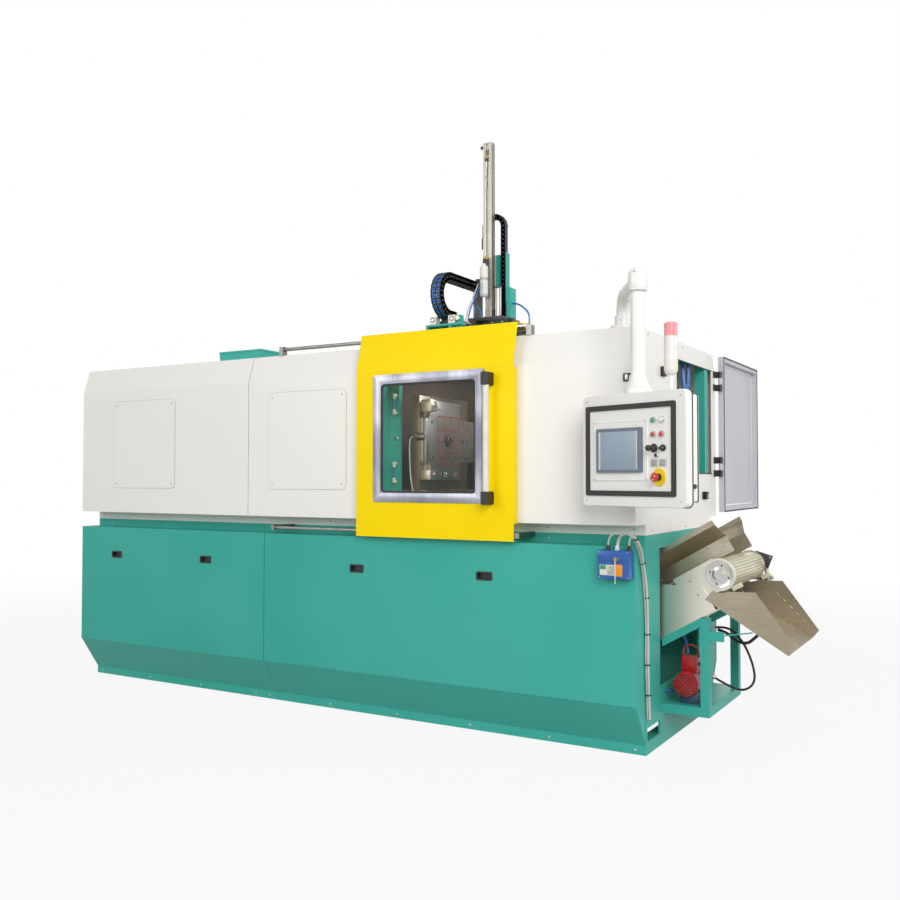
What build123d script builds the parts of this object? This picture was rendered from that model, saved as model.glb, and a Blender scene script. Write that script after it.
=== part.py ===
from build123d import *
from math import cos, radians, sin, tan
import os

# A wax pattern moulding cell: an enclosed press on a long bed, with a picker on the roof, a
# swivelling operator panel, a sliding front door, an end door and a conveyor that climbs out of
# the bed's right end. X runs along the bed, Y from the operator's side to the back, Z up. The
# origin is the middle of the bed's underside, on the floor. Lengths are in millimetres.

# Bed
bed_length = 4020
bed_width = 1142
flange_height = 49
deck_top = 1086
deck_thickness = 49
bed_post = 80
bed_wall = 12
tunnel_width = 700
tunnel_low = 300
lift_pocket_size = 200, 68
lift_pocket_middle, lift_pocket_low = 453, 62
well_from_right = 680, 110
well_width = 600

# Guards
overhang = 144
sheet = 3
guard_fold = 265
guard_seam_from_left = 1663
handles_from_left = 353, 1175
handles_from_right = 832, 1662
handle_drop = 182
handle_size = 97, 47
handle_rim = 5
handle_wall = 3
handle_depth = 24

# Band, frame and covers
band_height = 54
roof_height = 2120
chamfer_drop, chamfer_depth = 158, 50
cover_seam_from_left = 1530
cover_gap = 4
cover_foot = 12
post = 60
post_inset = 15
panel_size = 583
panel_radius = 34
panel_lift = 46
first_panel_from_left = 603
second_panel_from_door = 401

# Front door and its rails
door_width = 997
door_from_right = 633
door_overlap = 45
door_depth = 42
door_clear = 8
door_drop = 41
door_rise = 67
door_kink_rise = 7
door_lip = 88
door_tab = 40, 20
window_from_left, window_from_right = 118, 170
window_from_bottom, window_from_kink = 193, 21
window_rim = 52
window_proud = 6
window_radius = 30
pane_thickness = 6
top_rail_rise, top_rail_radius = 37, 11
top_rail_back = 60
top_rail_reach = 651
low_rail_drop, low_rail_radius = 10, 9
low_rail_front = 26
low_rail_reach = 633
rail_clamp = 30
runner_inset, runner_length = 60, 80
handle_bar_from_left = 863
handle_bar_from_bottom, handle_bar_from_kink = 188, 45
handle_bar_radius = 16
handle_bar_reach = 52
handle_foot = 70

# Right end: panel, opening and door leaf
opening_from_back, opening_width = 87, 681
opening_from_band, opening_from_roof = 258, 99
leaf_width, leaf_depth = 872, 34
leaf_from_band, leaf_from_roof = 23, 2
leaf_rim = 30
leaf_gap = 12
hinge_radius = 11
hinge_from_leaf = 277, 153
hinge_length = 120
hinge_plate = 60, 5
latch_from_front, latch_from_roof, latch_size = 415, 191, 50
interlock_from_back, interlock_from_band, interlock_size = 246, 129, 90

# Press inside the cell
lining_back = 380
lining_past_door = 50
lining_sheet = 2
mould_from_door = 280
mould_thickness = 46
mould_y = -465, 100
mould_from_window = 124, 122
mould_corner = 55
sprue_radius, sprue_bore, sprue_proud = 38, 10, 8
platen_thickness = 60
platen_depth = 260
platen_past_mould = 30
fitting_bar_from_door = 34
fitting_bar_size = 78, 30

# Picker on the roof
mast_from_right = 1096
mast_size = 57, 43
mast_rise, mast_drop = 1252, 110
mast_foot_radius, mast_foot = 45, 14
stand_from_mast = -224, 8
stand_y = -517, 330
stand_height = 130
stand_plate = 12
stand_bridge = 60
lug_height = 42
slide_from_mast = -179, -53
slide_radius = 10
slide_rise = 26
rail_block = 45
carriage_from_mast = -208, 146
carriage_y = -167
carriage_length = 230
carriage_plate = 16
carriage_travel = -170, 150
bearing_width = 44
slide_fit = 0.3
mast_clear = 6
slot_width = 120
low_chain_size = 62, 50
low_chain_from_mast = -116
low_chain_radius = 110
low_chain_front = -595
low_chain_lift = 33
low_chain_foot = 60
high_chain_size = 33, 34
high_chain_radius = 62
high_chain_from_mast = 79
high_chain_rise = 832
high_chain_end = 128
chain_clear = 6
channel_rise = 591
channel_low = 392, 287
channel_wall = 4
column_size = 25, 77
column_height = 190
cylinder_radius, cylinder_height = 25, 185
stem_radius, stem_height = 8, 130
guide_rod_radius, guide_rod_height = 6, 199
guide_pad = 4, 24, 60

# Operator pendant, across its face from the pipe's axis and up from its lower edge
pendant_from_right = 100
pendant_from_side = 24
pendant_arm = 200, -345
pipe_radius = 34
pipe_rise = 169
pipe_bend = 95
pendant_turn = -21.5
box_drop = 877
bezel_x, bezel_height = (-283, 325), 515
bezel_corner = 25
bezel_depth = 45
bezel_front = 70
trim_x, trim_z, trim_bar = (-262, 273), (47, 467), 24
trim_proud = 6
plate_x, plate_z, plate_proud = (-212, 114), (117, 392), 3
screen_x, screen_z, screen_proud = (-187, 89), (154, 358), 10
display_x, display_z, display_sunk = (-174, 64), (166, 345), 4
button_x, button_z = (149, 196), (387, 324)
button_radius, button_proud = 15, 14
stick_x, stick_z, stick_radius = 150, 262, 13
selector_x, key_place, grey_plates = 202, (166, 230), ((152, 199), (200, 200))
grey_plate = 40
stop_place, stop_radius, stop_head = (179, 133), 40, 20
housing_x, housing_z, housing_depth = (-236, 277), (23, 499), 105
gland_z, gland_radius = 92, 12
neck_radius, neck_clear = 72, 0.3
neck_gap = 16
beacon_place = 158, 40
beacon_radius = 31
beacon_height, beacon_rise = 237, 832
beacon_pole = 10

# Conveyor
incline = 30
drum_from_right, drum_drop = 300, 200
drum_radius = 71
drum_width = 596
drum_fit = 0.3
shaft_radius = 15
belt_thickness = 4
belt_run = 720
cleat_height, cleat_thickness, cleat_count = 14, 8, 7
cleat_clear = 10
tank_width = 630
tank_drop = 265
tank_end, tank_bottom = -108, -145
tank_from_right = 450
cheek_run, cheek_rise = (-230, 0), (-72, 88)
cheek = 8
cap_radius, cap_thickness = 53, 8
cap_bolt_circle, cap_bolt = 37, 5
cap_boss = 20
guard_wall = 190
guard_lip = 280
guard_sheet = 2
guard_run = -560, 95
guard_heights = 78, 164, 232, 258
frame_tube = 45
frame_reach = 243
frame_bottom = 160
shelf = 3
stay_plate = 76, 50
stay_height = 573
stay_radius = 7
chute_from_drum = (-74, -129), (-39, -84), (175, -80), (363, -336), (330, -378)
chute_clear = 21
drive_arm = (-20, -26), (20, -36), (90, -29), (121, 52), (31, 79), (-20, 64)
drive_thickness = 12
wheel_from_drum, wheel_y = (55, -101), 385
wheel_radius, wheel_thickness = 57, 30
link_width = 20

# Pump, hose, boxes and cables
pump_from_right, pump_y, pump_height = 117, (-315, -130), 314
pump_radius = 60
cowl_radius, cowl_length = 64, 68
volute_radius, volute_length = 75, 70
pump_foot = 42
terminal_box = 85, 90, 70
pipe_fitting = 8
hose_radius = 6
hose_route = [
    (172, -15, 568), (252, -15, 590), (335, -15, 520), (390, -15, 400),
    (402, -15, 300), (340, -15, 248), (252, -15, 272), (172, -15, 314),
]
fitting_length = 25
control_box_from_right = 167, 9
control_box_drop = 151, 15
control_box_depth = 62
box_glands = 41, 87, 148
box_gland_radius, box_gland_height = 9, 14
knob_place, knob_radius, knob_height = (95, 95), 12, 16
bundle_radius = 10
bundle_route = [
    (-80, -31, -1), (-80, -31, 49), (-35, -37, 75), (6, -33, 53), (16, 13, 3), (12, 75, -87),
    (12, 115, -217), (12, 135, -397), (12, 127, -557), (12, 139, -717), (12, 149, -857),
]
roof_box_from_left = 995, 1355
roof_box_y = -415, -225
roof_box_height = 98

right = bed_length / 2
left = -right
side = bed_width / 2
face = side + overhang
deck_bottom = deck_top - deck_thickness
guard_top = deck_bottom
band_top = deck_top + band_height
kink_height = roof_height - chamfer_drop
guard_seam = left + guard_seam_from_left
cover_seam = left + cover_seam_from_left
door_left = right - door_from_right - door_width
door_right = right - door_from_right
door_bottom = deck_top - door_drop
door_kink = kink_height + door_kink_rise
door_top = roof_height + door_rise
door_front = -face - door_clear - door_depth
window_x = door_left + window_from_left, door_right - window_from_right
window_z = door_bottom + window_from_bottom, door_kink - window_from_kink
mast_x = right - mast_from_right
stand_top = roof_height + stand_height
low_chain_height = stand_top + low_chain_lift + low_chain_size[1] / 2 + low_chain_radius
drum_x, drum_z = right + drum_from_right, deck_top - drum_drop
guard_crest = guard_heights[-1] / cos(radians(incline)) - drum_from_right * tan(radians(incline))
tunnel_high = drum_z + guard_crest + drum_fit
pendant_x, pendant_y = right - pendant_from_right, -side - pendant_from_side
pipe_x, pipe_y = pendant_x + pendant_arm[0], pendant_y + pendant_arm[1]
box_bottom = roof_height - box_drop
pump_x = right + pump_from_right


def block(x, y, z):
    """A box between a low and a high value on each axis."""
    sizes = [high - low for low, high in (x, y, z)]
    middles = [(low + high) / 2 for low, high in (x, y, z)]
    return Pos(*middles) * Box(*sizes)


def drawn_x(sketch, x):
    """A sketch in (Y, Z), drawn out along X from x[0] to x[1]."""
    return extrude(Plane.YZ.offset(x[0]) * sketch, amount=x[1] - x[0])


def drawn_y(sketch, y):
    """A sketch in (X, Z), drawn out along Y from y[0] to y[1]."""
    return extrude(Plane.XZ.offset(-y[1]) * sketch, amount=y[1] - y[0])


def drawn_z(sketch, z):
    """A sketch in (X, Y), drawn out along Z from z[0] to z[1]."""
    return extrude(Plane.XY.offset(z[0]) * sketch, amount=z[1] - z[0])


def outline(*points):
    """A flat face inside straight sides."""
    return make_face(Polyline(*points, close=True))


def oblong(x, z, corner=0):
    """A rectangle between two values each way, its corners rounded where a radius is given."""
    wide, high = x[1] - x[0], z[1] - z[0]
    shape = RectangleRounded(wide, high, corner) if corner else Rectangle(wide, high)
    return Pos((x[0] + x[1]) / 2, (z[0] + z[1]) / 2) * shape


def rod(start, end, radius):
    """A round bar between two points."""
    line = Line(start, end)
    return sweep(Plane(origin=start, z_dir=line % 0) * Circle(radius), path=line)


def disc(x, z, radius, y):
    """A round plate that faces along Y."""
    return drawn_y(Pos(x, z) * Circle(radius), y)


def folded(path, thickness=sheet):
    """The section of a folded sheet, with its material on the left of the path."""
    line = Polyline(*path)
    return make_face(offset(line, thickness, side=Side.LEFT, kind=Kind.INTERSECTION, closed=True))


def flexible(points, radius):
    """A hose through its points: straight runs joined by arcs as large as the runs allow."""
    corners = [Vector(*point) for point in points]
    radii = []
    for before, corner, after in zip(corners, corners[1:], corners[2:]):
        turn = radians((corner - before).get_angle(after - corner))
        shorter = min((corner - before).length, (after - corner).length)
        radii.append(0.45 * shorter / tan(turn / 2))
    path = FilletPolyline(*corners, radius=radii)
    return sweep(Plane(origin=path @ 0, z_dir=path % 0) * Circle(radius), path=path)


def mirrored(shape):
    """The same shape on the back side."""
    return mirror(shape, about=Plane.XZ)


def both(shape):
    """A shape and its copy on the back side."""
    return shape + mirrored(shape)


parts = {}


def make_bed():
    """The welded bed: base flange, posts, deck and an end plate with the conveyor's tunnel."""
    ring = Rectangle(bed_length, bed_width) - Rectangle(bed_length - 2 * bed_post, bed_width - 2 * bed_post)
    bed = drawn_z(ring, (0, flange_height))
    post_y = (-side, -side + bed_post)
    for x in (left, -bed_length / 6, bed_length / 6 - bed_post, right - bed_post):
        bed += both(block((x, x + bed_post), post_y, (flange_height, deck_bottom)))
    for x in (-bed_length / 3, 0, bed_length / 3):
        bed += block((x - bed_post / 2, x + bed_post / 2), (-side, side), (0, flange_height))
    well = (right - well_from_right[0], right - well_from_right[1])
    deck = block((left, right), (-side, side), (deck_bottom, deck_top))
    deck -= block(well, (-well_width / 2, well_width / 2), (deck_bottom, deck_top))
    plate = block((right - bed_wall, right), (-side, side), (flange_height, deck_bottom))
    plate -= block((right - bed_wall, right), (-tunnel_width / 2, tunnel_width / 2), (tunnel_low, tunnel_high))
    back = block((left, left + bed_wall), (-side + bed_post, side - bed_post), (flange_height, deck_bottom))
    wide, high = lift_pocket_size
    pocket_y = (-lift_pocket_middle - wide / 2, -lift_pocket_middle + wide / 2)
    pocket = block((right - bed_post, right), pocket_y, (lift_pocket_low, lift_pocket_low + high))
    parts["bed_frame"] = bed + deck + plate + back - both(pocket)


def make_guards():
    """Folded lower guards with cups for flush pull handles, and the handles in them."""
    gap = cover_gap / 2
    section = folded([
        (-side, guard_top),
        (-face, guard_top),
        (-face, guard_fold),
        (-side - sheet, flange_height),
        (-side - sheet, 0),
    ])
    handle_height = guard_top - handle_drop
    places = [left + reach for reach in handles_from_left] + [right - reach for reach in handles_from_right]
    wide, high = handle_size
    cup_wide, cup_high = wide - 2 * handle_rim, high - 2 * handle_rim
    guards, pulls = [], []
    for x in ((left, guard_seam - gap), (guard_seam + gap, right)):
        guard = drawn_x(section, x)
        for place in places:
            if x[0] < place < x[1]:
                hole = Pos(place, handle_height) * RectangleRounded(cup_wide, cup_high, 8)
                guard -= drawn_y(hole, (-face - 1, -face + sheet + 1))
        guards += [guard, mirrored(guard)]
    for place in places:
        middle = Pos(place, handle_height)
        rim = drawn_y(middle * RectangleRounded(wide, high, 10), (-face - handle_wall, -face))
        cup = drawn_y(middle * RectangleRounded(cup_wide - 1, cup_high - 1, 7.5), (-face, -face + handle_depth))
        inside = RectangleRounded(cup_wide - 2 * handle_wall, cup_high - 2 * handle_wall, 6)
        pull = rim + cup - drawn_y(middle * inside, (-face - handle_wall, -face + handle_depth - handle_wall))
        pulls += [pull, mirrored(pull)]
    parts["lower_guards"] = Compound(guards)
    parts["flush_pulls"] = Compound(pulls)


def make_enclosure():
    """The white band, the posts and rails of the upper frame, and the sheets that clothe it."""
    ring = Rectangle(bed_length, bed_width) - Rectangle(bed_length - 2 * post, bed_width - 2 * post)
    parts["lower_band"] = drawn_z(ring, (deck_top, band_top))
    rail = (roof_height - sheet - post, roof_height - sheet)
    outer_y, inner_y = bed_width - 2 * post_inset, bed_width - 2 * post_inset - 2 * post
    rails = Rectangle(bed_length, outer_y) - Rectangle(bed_length - 2 * post, inner_y)
    frame = drawn_z(rails, rail)
    inner = (-side + post_inset, -side + post_inset + post)
    beside_door = (door_left - post / 3, door_right - 2 * post / 3)
    for x in (left, cover_seam - post / 2, *beside_door, right - post):
        frame += both(block((x, x + post), inner, (band_top, rail[0])))
        frame += block((x, x + post), (inner[0], -inner[0]), rail)
    parts["upper_frame"] = frame

    section = folded([
        (-side, roof_height),
        (-face + chamfer_depth, roof_height),
        (-face, kink_height),
        (-face, band_top),
        (-side + cover_foot, band_top),
    ])
    gap = cover_gap / 2
    opening = (door_left + door_overlap, door_right - door_overlap)
    spans = ((left, cover_seam - gap), (cover_seam + gap, opening[0]), (opening[1], right))
    parts["covers_front"] = Compound([drawn_x(section, x) for x in spans])
    back = mirrored(drawn_x(section, (left, right)))
    roof = block((left, right), (-side, side), (roof_height - sheet, roof_height))
    slot_x = (mast_x - slot_width / 2, mast_x + slot_width / 2)
    slot_y = (carriage_y + carriage_travel[0] - slot_width, carriage_y + carriage_travel[1] + slot_width)
    roof -= block(slot_x, slot_y, (roof_height - sheet, roof_height))
    parts["covers_back"] = Compound([back, roof])

    end = outline(
        (-face, band_top), (-face, kink_height), (-face + chamfer_depth, roof_height),
        (face - chamfer_depth, roof_height), (face, kink_height), (face, band_top),
        (side, band_top), (side, deck_top), (-side, deck_top), (-side, band_top),
    )
    opening_end = face - opening_from_back
    opening_z = (band_top + opening_from_band, roof_height - opening_from_roof)
    window = oblong((opening_end - opening_width, opening_end), opening_z)
    parts["end_panels"] = Compound([
        drawn_x(end, (left - sheet, left)), drawn_x(end - window, (right, right + sheet)),
    ])

    middle = (band_top + kink_height) / 2 + panel_lift
    panel = RectangleRounded(panel_size, panel_size, panel_radius)
    places = (left + first_panel_from_left, door_left - second_panel_from_door)
    panels = [drawn_y(Pos(x, middle) * panel, (-face - sheet, -face)) for x in places]
    parts["access_panels"] = Compound(panels)


def make_door():
    """The sliding door with its window and handle, and the two rails it runs on."""
    top_front = door_front + chamfer_depth
    low_rail = deck_top - low_rail_drop
    section = folded([
        (top_front + door_lip, door_top),
        (top_front, door_top),
        (door_front, door_kink),
        (door_front, door_bottom),
        (door_front + door_depth / 2, door_bottom),
    ])
    door = drawn_x(section, (door_left, door_right))
    edge_z = (low_rail + runner_inset, door_kink - door_depth / 2)
    for x in ((door_left, door_left + sheet), (door_right - sheet, door_right)):
        door += block(x, (door_front, door_front + door_depth), edge_z)
    wide, deep = door_tab
    tab_y = (top_front + door_lip - deep, top_front + door_lip)
    door += block((door_right, door_right + wide), tab_y, (door_top - sheet, door_top))
    inner_x = (window_x[0] + window_rim, window_x[1] - window_rim)
    inner_z = (window_z[0] + window_rim, window_z[1] - window_rim)
    inner = oblong(inner_x, inner_z, window_radius)
    parts["door_panel"] = door - drawn_y(inner, (door_front - 1, door_front + sheet + 1))
    frame_y = (door_front - window_proud, door_front)
    parts["window_frame"] = drawn_y(oblong(window_x, window_z) - inner, frame_y)
    pane_x = (window_x[0] + window_rim / 4, window_x[1] - window_rim / 4)
    pane_z = (window_z[0] + window_rim / 4, window_z[1] - window_rim / 4)
    pane_y = (door_front + sheet, door_front + sheet + pane_thickness)
    parts["window_glass"] = drawn_y(oblong(pane_x, pane_z, window_radius), pane_y)

    bar_x = door_left + handle_bar_from_left
    bar_y = door_front - handle_bar_reach
    bar_z = (door_bottom + handle_bar_from_bottom, door_kink - handle_bar_from_kink)
    thick = handle_bar_radius + 4
    inset = handle_foot / 3
    grip = rod((bar_x, bar_y, bar_z[0] + inset), (bar_x, bar_y, bar_z[1] - inset), handle_bar_radius)
    parts["door_handle_bar"] = grip
    ends = []
    for z in ((bar_z[0], bar_z[0] + handle_foot), (bar_z[1] - handle_foot, bar_z[1])):
        foot = block((bar_x - thick, bar_x + thick), (bar_y - thick, door_front), z)
        foot = fillet(foot.edges().filter_by(Axis.Y), thick / 2)
        ends.append(foot - grip)
    parts["door_handle_ends"] = Compound(ends)

    top_rail = roof_height + top_rail_rise
    top_y = -face + top_rail_back
    rail_end = door_right + 2 * rail_clamp
    rail_start = door_left - top_rail_reach
    rails = rod((rail_start, top_y, top_rail), (rail_end, top_y, top_rail), top_rail_radius)
    thick = 2 * top_rail_radius - 2
    for x in (rail_start, rail_end - rail_clamp):
        clamp_z = (roof_height, top_rail + thick - 4)
        rails += block((x, x + rail_clamp), (top_y - thick, top_y + thick), clamp_z)
    low_y = -face - door_clear - low_rail_front
    rail_start = door_left - low_rail_reach
    lower = rod((rail_start, low_y, low_rail), (door_right + rail_clamp, low_y, low_rail), low_rail_radius)
    thick = low_rail_radius + 5
    for x in (rail_start, door_right + 4):
        lower += block((x, x + rail_clamp - 4), (low_y - thick, -side), (low_rail - thick, low_rail + thick))
    parts["door_rails"] = Compound([rails, lower])

    runners = []
    for x in (door_left + runner_inset, door_right - runner_inset - runner_length):
        reach = 2 * top_rail_radius
        span = (x, x + runner_length)
        upper = block(span, (top_y - reach, top_y + reach), (top_rail - reach, door_top - sheet))
        bore = top_rail_radius + slide_fit
        upper -= rod((x - 1, top_y, top_rail), (span[1] + 1, top_y, top_rail), bore)
        reach = 2 * low_rail_radius
        under = block(span, (door_front + sheet, low_y + reach), (low_rail - reach, low_rail + reach))
        bore = low_rail_radius + slide_fit
        under -= rod((x - 1, low_y, low_rail), (span[1] + 1, low_y, low_rail), bore)
        runners += [upper, under]
    parts["door_runners"] = Compound(runners)


def make_end_door():
    """The end door leaf, shown swung right open, with its hinges, latch and switch."""
    hinge_y = face + hinge_radius + 4
    hinge_x = right + sheet + leaf_gap + leaf_depth / 2
    leaf_y = (hinge_y + hinge_radius + 2, hinge_y + hinge_radius + 2 + leaf_width)
    leaf_z = (band_top + leaf_from_band, roof_height - leaf_from_roof)
    leaf_x = (hinge_x - leaf_depth / 2, hinge_x + leaf_depth / 2)
    leaf = block(leaf_x, leaf_y, leaf_z)
    inside = [(low + leaf_rim, high - leaf_rim) for low, high in (leaf_y, leaf_z)]
    leaf -= block((leaf_x[0] + sheet, leaf_x[1]), *inside)
    fittings = []
    third = hinge_length / 3
    wide, thick = hinge_plate
    for z in (leaf_z[0] + hinge_from_leaf[0], leaf_z[1] - hinge_from_leaf[1]):
        for low in (-1.5 * third, -0.5 * third, 0.5 * third):
            span = (z + low + slide_fit / 2, z + low + third - slide_fit / 2)
            knuckle = rod((hinge_x, hinge_y, span[0]), (hinge_x, hinge_y, span[1]), hinge_radius)
            if low == -0.5 * third:
                leaf += knuckle + block((hinge_x - thick, hinge_x + thick), (hinge_y, leaf_y[0] + 1), span)
            else:
                arm = block((right + sheet, hinge_x), (hinge_y - thick, hinge_y + thick), span)
                arm += block((right + sheet, right + sheet + thick), (hinge_y - wide, hinge_y + thick), span)
                fittings.append(knuckle + arm)
    x = (right + sheet, right + sheet + thick)
    latch_y, z = latch_from_front - face, roof_height - latch_from_roof
    half = latch_size / 2
    fittings.append(block(x, (latch_y - half, latch_y + half), (z - half, z + half)))
    interlock_y, z = face - interlock_from_back, band_top + interlock_from_band
    half = interlock_size / 2
    fittings.append(block(x, (interlock_y - half, interlock_y + half), (z - half / 2, z + half / 2)))
    parts["end_leaf"] = leaf
    parts["end_door_fittings"] = Compound(fittings)


def make_press():
    """What shows through the window: stainless lining, the platen with its mould and fittings."""
    low, high = band_top + 3 * sheet, roof_height - sheet - post
    x = (door_left - lining_past_door, door_right + lining_past_door)
    y = (-side + post + 1, lining_back)
    walls = block(x, y, (low, high))
    walls -= block((x[0] + lining_sheet, x[1] - lining_sheet), (y[0], y[1] - lining_sheet), (low, high))
    walls += block(x, (y[1] - lining_sheet, y[1]), (deck_top, low))
    parts["lining"] = walls
    mould_z = window_z[0] + mould_from_window[0], window_z[1] - mould_from_window[1]
    mould_x = door_left + mould_from_door
    back = mould_x - mould_thickness
    base_top = mould_z[0] - platen_thickness
    platen = block((mould_x - platen_depth, mould_x), mould_y, (deck_top, base_top))
    platen += block((back - platen_thickness, back), mould_y, (base_top, mould_z[1] + platen_past_mould))
    parts["platen"] = platen
    shape = oblong(mould_y, mould_z)
    for z in mould_z:
        shape -= Pos(mould_y[0], z) * Circle(mould_corner)
        shape -= Pos(mould_y[1], z) * Rectangle(mould_corner, mould_corner)
    mould = drawn_x(shape, (back, mould_x))
    bush = Pos(sum(mould_y) / 2, sum(mould_z) / 2)
    mould += drawn_x(bush * Circle(sprue_radius), (mould_x, mould_x + sprue_proud))
    parts["mould"] = mould - drawn_x(bush * Circle(sprue_bore), (back, mould_x + sprue_proud))
    x = (door_left + fitting_bar_from_door, door_left + fitting_bar_from_door + fitting_bar_size[0])
    y = (mould_y[0] - fitting_bar_size[1], mould_y[0])
    parts["fitting_bar"] = block(x, y, (deck_top, mould_z[1] + platen_past_mould + 2 * mould_thickness))


def chain_band(radius, height, first, second):
    """A cable chain's side view: a half turn about the origin, open to the right, and two runs."""
    half = height / 2
    turn = Circle(radius + half) - Circle(radius - half)
    turn &= Pos(-radius, 0) * Rectangle(2 * radius, 4 * radius)
    low_run = Pos(first / 2, -radius) * Rectangle(first, height)
    high_run = Pos(second / 2, radius) * Rectangle(second, height)
    return turn + low_run + high_run


def make_stand(slides, rail_z):
    """The stand on the roof with its two slide rails, their blocks and the chain's foot."""
    low, high = roof_height, stand_top
    x = (mast_x + stand_from_mast[0], mast_x + stand_from_mast[1])
    gap = slot_width / 2
    stand = block(x, stand_y, (high - stand_plate, high))
    bridge = (stand_y[0] + stand_bridge, stand_y[1] - stand_bridge)
    stand -= block((mast_x - gap, x[1] + 1), bridge, (high - stand_plate, high))
    for leg in (x[0], mast_x - gap - stand_plate):
        stand += block((leg, leg + stand_plate), stand_y, (low, high - stand_plate))
    lug = (x[1] - 2 * stand_plate, x[1])
    stand += block(lug, (stand_y[0], stand_y[0] + stand_bridge / 2), (high, high + lug_height))
    chain_x = mast_x + low_chain_from_mast
    wide, thick = low_chain_size
    run_low = low_chain_height - low_chain_radius - thick / 2
    turn_y = low_chain_front + low_chain_radius + thick / 2
    foot_y = (max(turn_y, stand_y[0]), turn_y + low_chain_foot)
    stand += block((chain_x - wide / 2, chain_x + wide / 2), foot_y, (high, run_low))
    parts["picker_stand"] = stand
    rails, supports = [], []
    for slide in slides:
        rail = rod((slide, stand_y[0] + sheet, rail_z), (slide, stand_y[1] - sheet, rail_z), slide_radius)
        rails.append(rail)
        half = rail_block / 2
        for y in (stand_y[0], stand_y[1] - rail_block):
            holder_z = (high, rail_z + 2 * slide_radius)
            holder = block((slide - half, slide + half), (y, y + rail_block), holder_z)
            supports.append(holder - rail)
    parts["slide_rails"] = Compound(rails)
    parts["rail_blocks"] = Compound(supports)


def make_carriage(slides, rail_z, plate_z, mast_y):
    """The carriage with its bearings, the channel and column beside the mast, and the cylinder."""
    y = (carriage_y - carriage_length / 2, carriage_y + carriage_length / 2)
    x = (mast_x + carriage_from_mast[0], mast_x + carriage_from_mast[1])
    carriage = block(x, y, plate_z)
    hole = [half + mast_clear for half in (mast_size[0] / 2, mast_size[1] / 2)]
    hole_y = (carriage_y - hole[1], carriage_y + hole[1])
    carriage -= block((mast_x - hole[0], mast_x + hole[0]), hole_y, plate_z)
    chain_x = mast_x + low_chain_from_mast
    half = low_chain_size[0] / 2
    notch = half + chain_clear
    carriage -= block((chain_x - notch, chain_x + notch), (y[0], carriage_y - bearing_width), plate_z)
    run_low = low_chain_height + low_chain_radius - low_chain_size[1] / 2
    lift = (y[1] - bearing_width, y[1])
    carriage += block((chain_x - half, chain_x + half), lift, (plate_z[1], run_low))
    for slide in slides:
        half = bearing_width / 2
        bearing = block((slide - half, slide + half), y, (rail_z - half + 5, plate_z[0]))
        bore = rod((slide, y[0] - 1, rail_z), (slide, y[1] + 1, rail_z), slide_radius + slide_fit)
        carriage += bearing - bore
    for turned in (-1, 1):
        reaches = (slide_fit, mast_clear + guide_pad[0])
        pad_x = sorted(mast_x + turned * (mast_size[0] / 2 + reach) for reach in reaches)
        pad_y = (carriage_y - guide_pad[1] / 2, carriage_y + guide_pad[1] / 2)
        carriage += block(pad_x, pad_y, (plate_z[1], plate_z[1] + guide_pad[2]))
    rod_x = mast_x + mast_size[0] / 2 + mast_clear + guide_pad[0] + guide_rod_radius
    for place in (rod_x, rod_x + 5 * guide_rod_radius):
        foot = (place, mast_y[0] + 4 * guide_rod_radius, plate_z[1])
        carriage += rod(foot, (foot[0], foot[1], plate_z[1] + guide_rod_height), guide_rod_radius)
    parts["carriage"] = carriage

    chain_y = (mast_y[1] + chain_clear, mast_y[1] + chain_clear + high_chain_size[0])
    web_y = (chain_y[1] + chain_clear, chain_y[1] + chain_clear + channel_wall)
    leg_x = mast_x + high_chain_from_mast + high_chain_size[1] / 2
    wall_x = (leg_x + 1, leg_x + 1 + channel_wall)
    top = roof_height + channel_rise
    guide = block((mast_x + 6, wall_x[1]), web_y, (roof_height + channel_low[0], top))
    guide += block(wall_x, (chain_y[0], web_y[1]), (roof_height + channel_low[1], top))
    column_x = (wall_x[1], wall_x[1] + column_size[0])
    column_y = (chain_y[0], chain_y[0] + column_size[1])
    column = block(column_x, column_y, (plate_z[1], plate_z[1] + column_height))
    spine_x, spine_z = (leg_x - high_chain_size[1], wall_x[1]), (plate_z[1], roof_height + channel_low[0])
    spine = block(spine_x, (web_y[0], column_y[1]), spine_z)
    parts["mast_guide"] = guide + column + spine
    x, y = mast_x - stem_radius, mast_y[0] - cylinder_radius - sheet
    stem = Pos(x, y, plate_z[1] + stem_height / 2) * Cylinder(stem_radius, stem_height)
    middle = plate_z[1] + stem_height + cylinder_height / 2
    bowl = Pos(x, y, middle) * Cylinder(cylinder_radius, cylinder_height)
    cap_z = middle + cylinder_height / 2 + stem_radius
    cap = Pos(x, y, cap_z) * Cylinder(cylinder_radius / 2, 2 * stem_radius)
    parts["lift_cylinder"] = stem + bowl + cap


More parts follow.
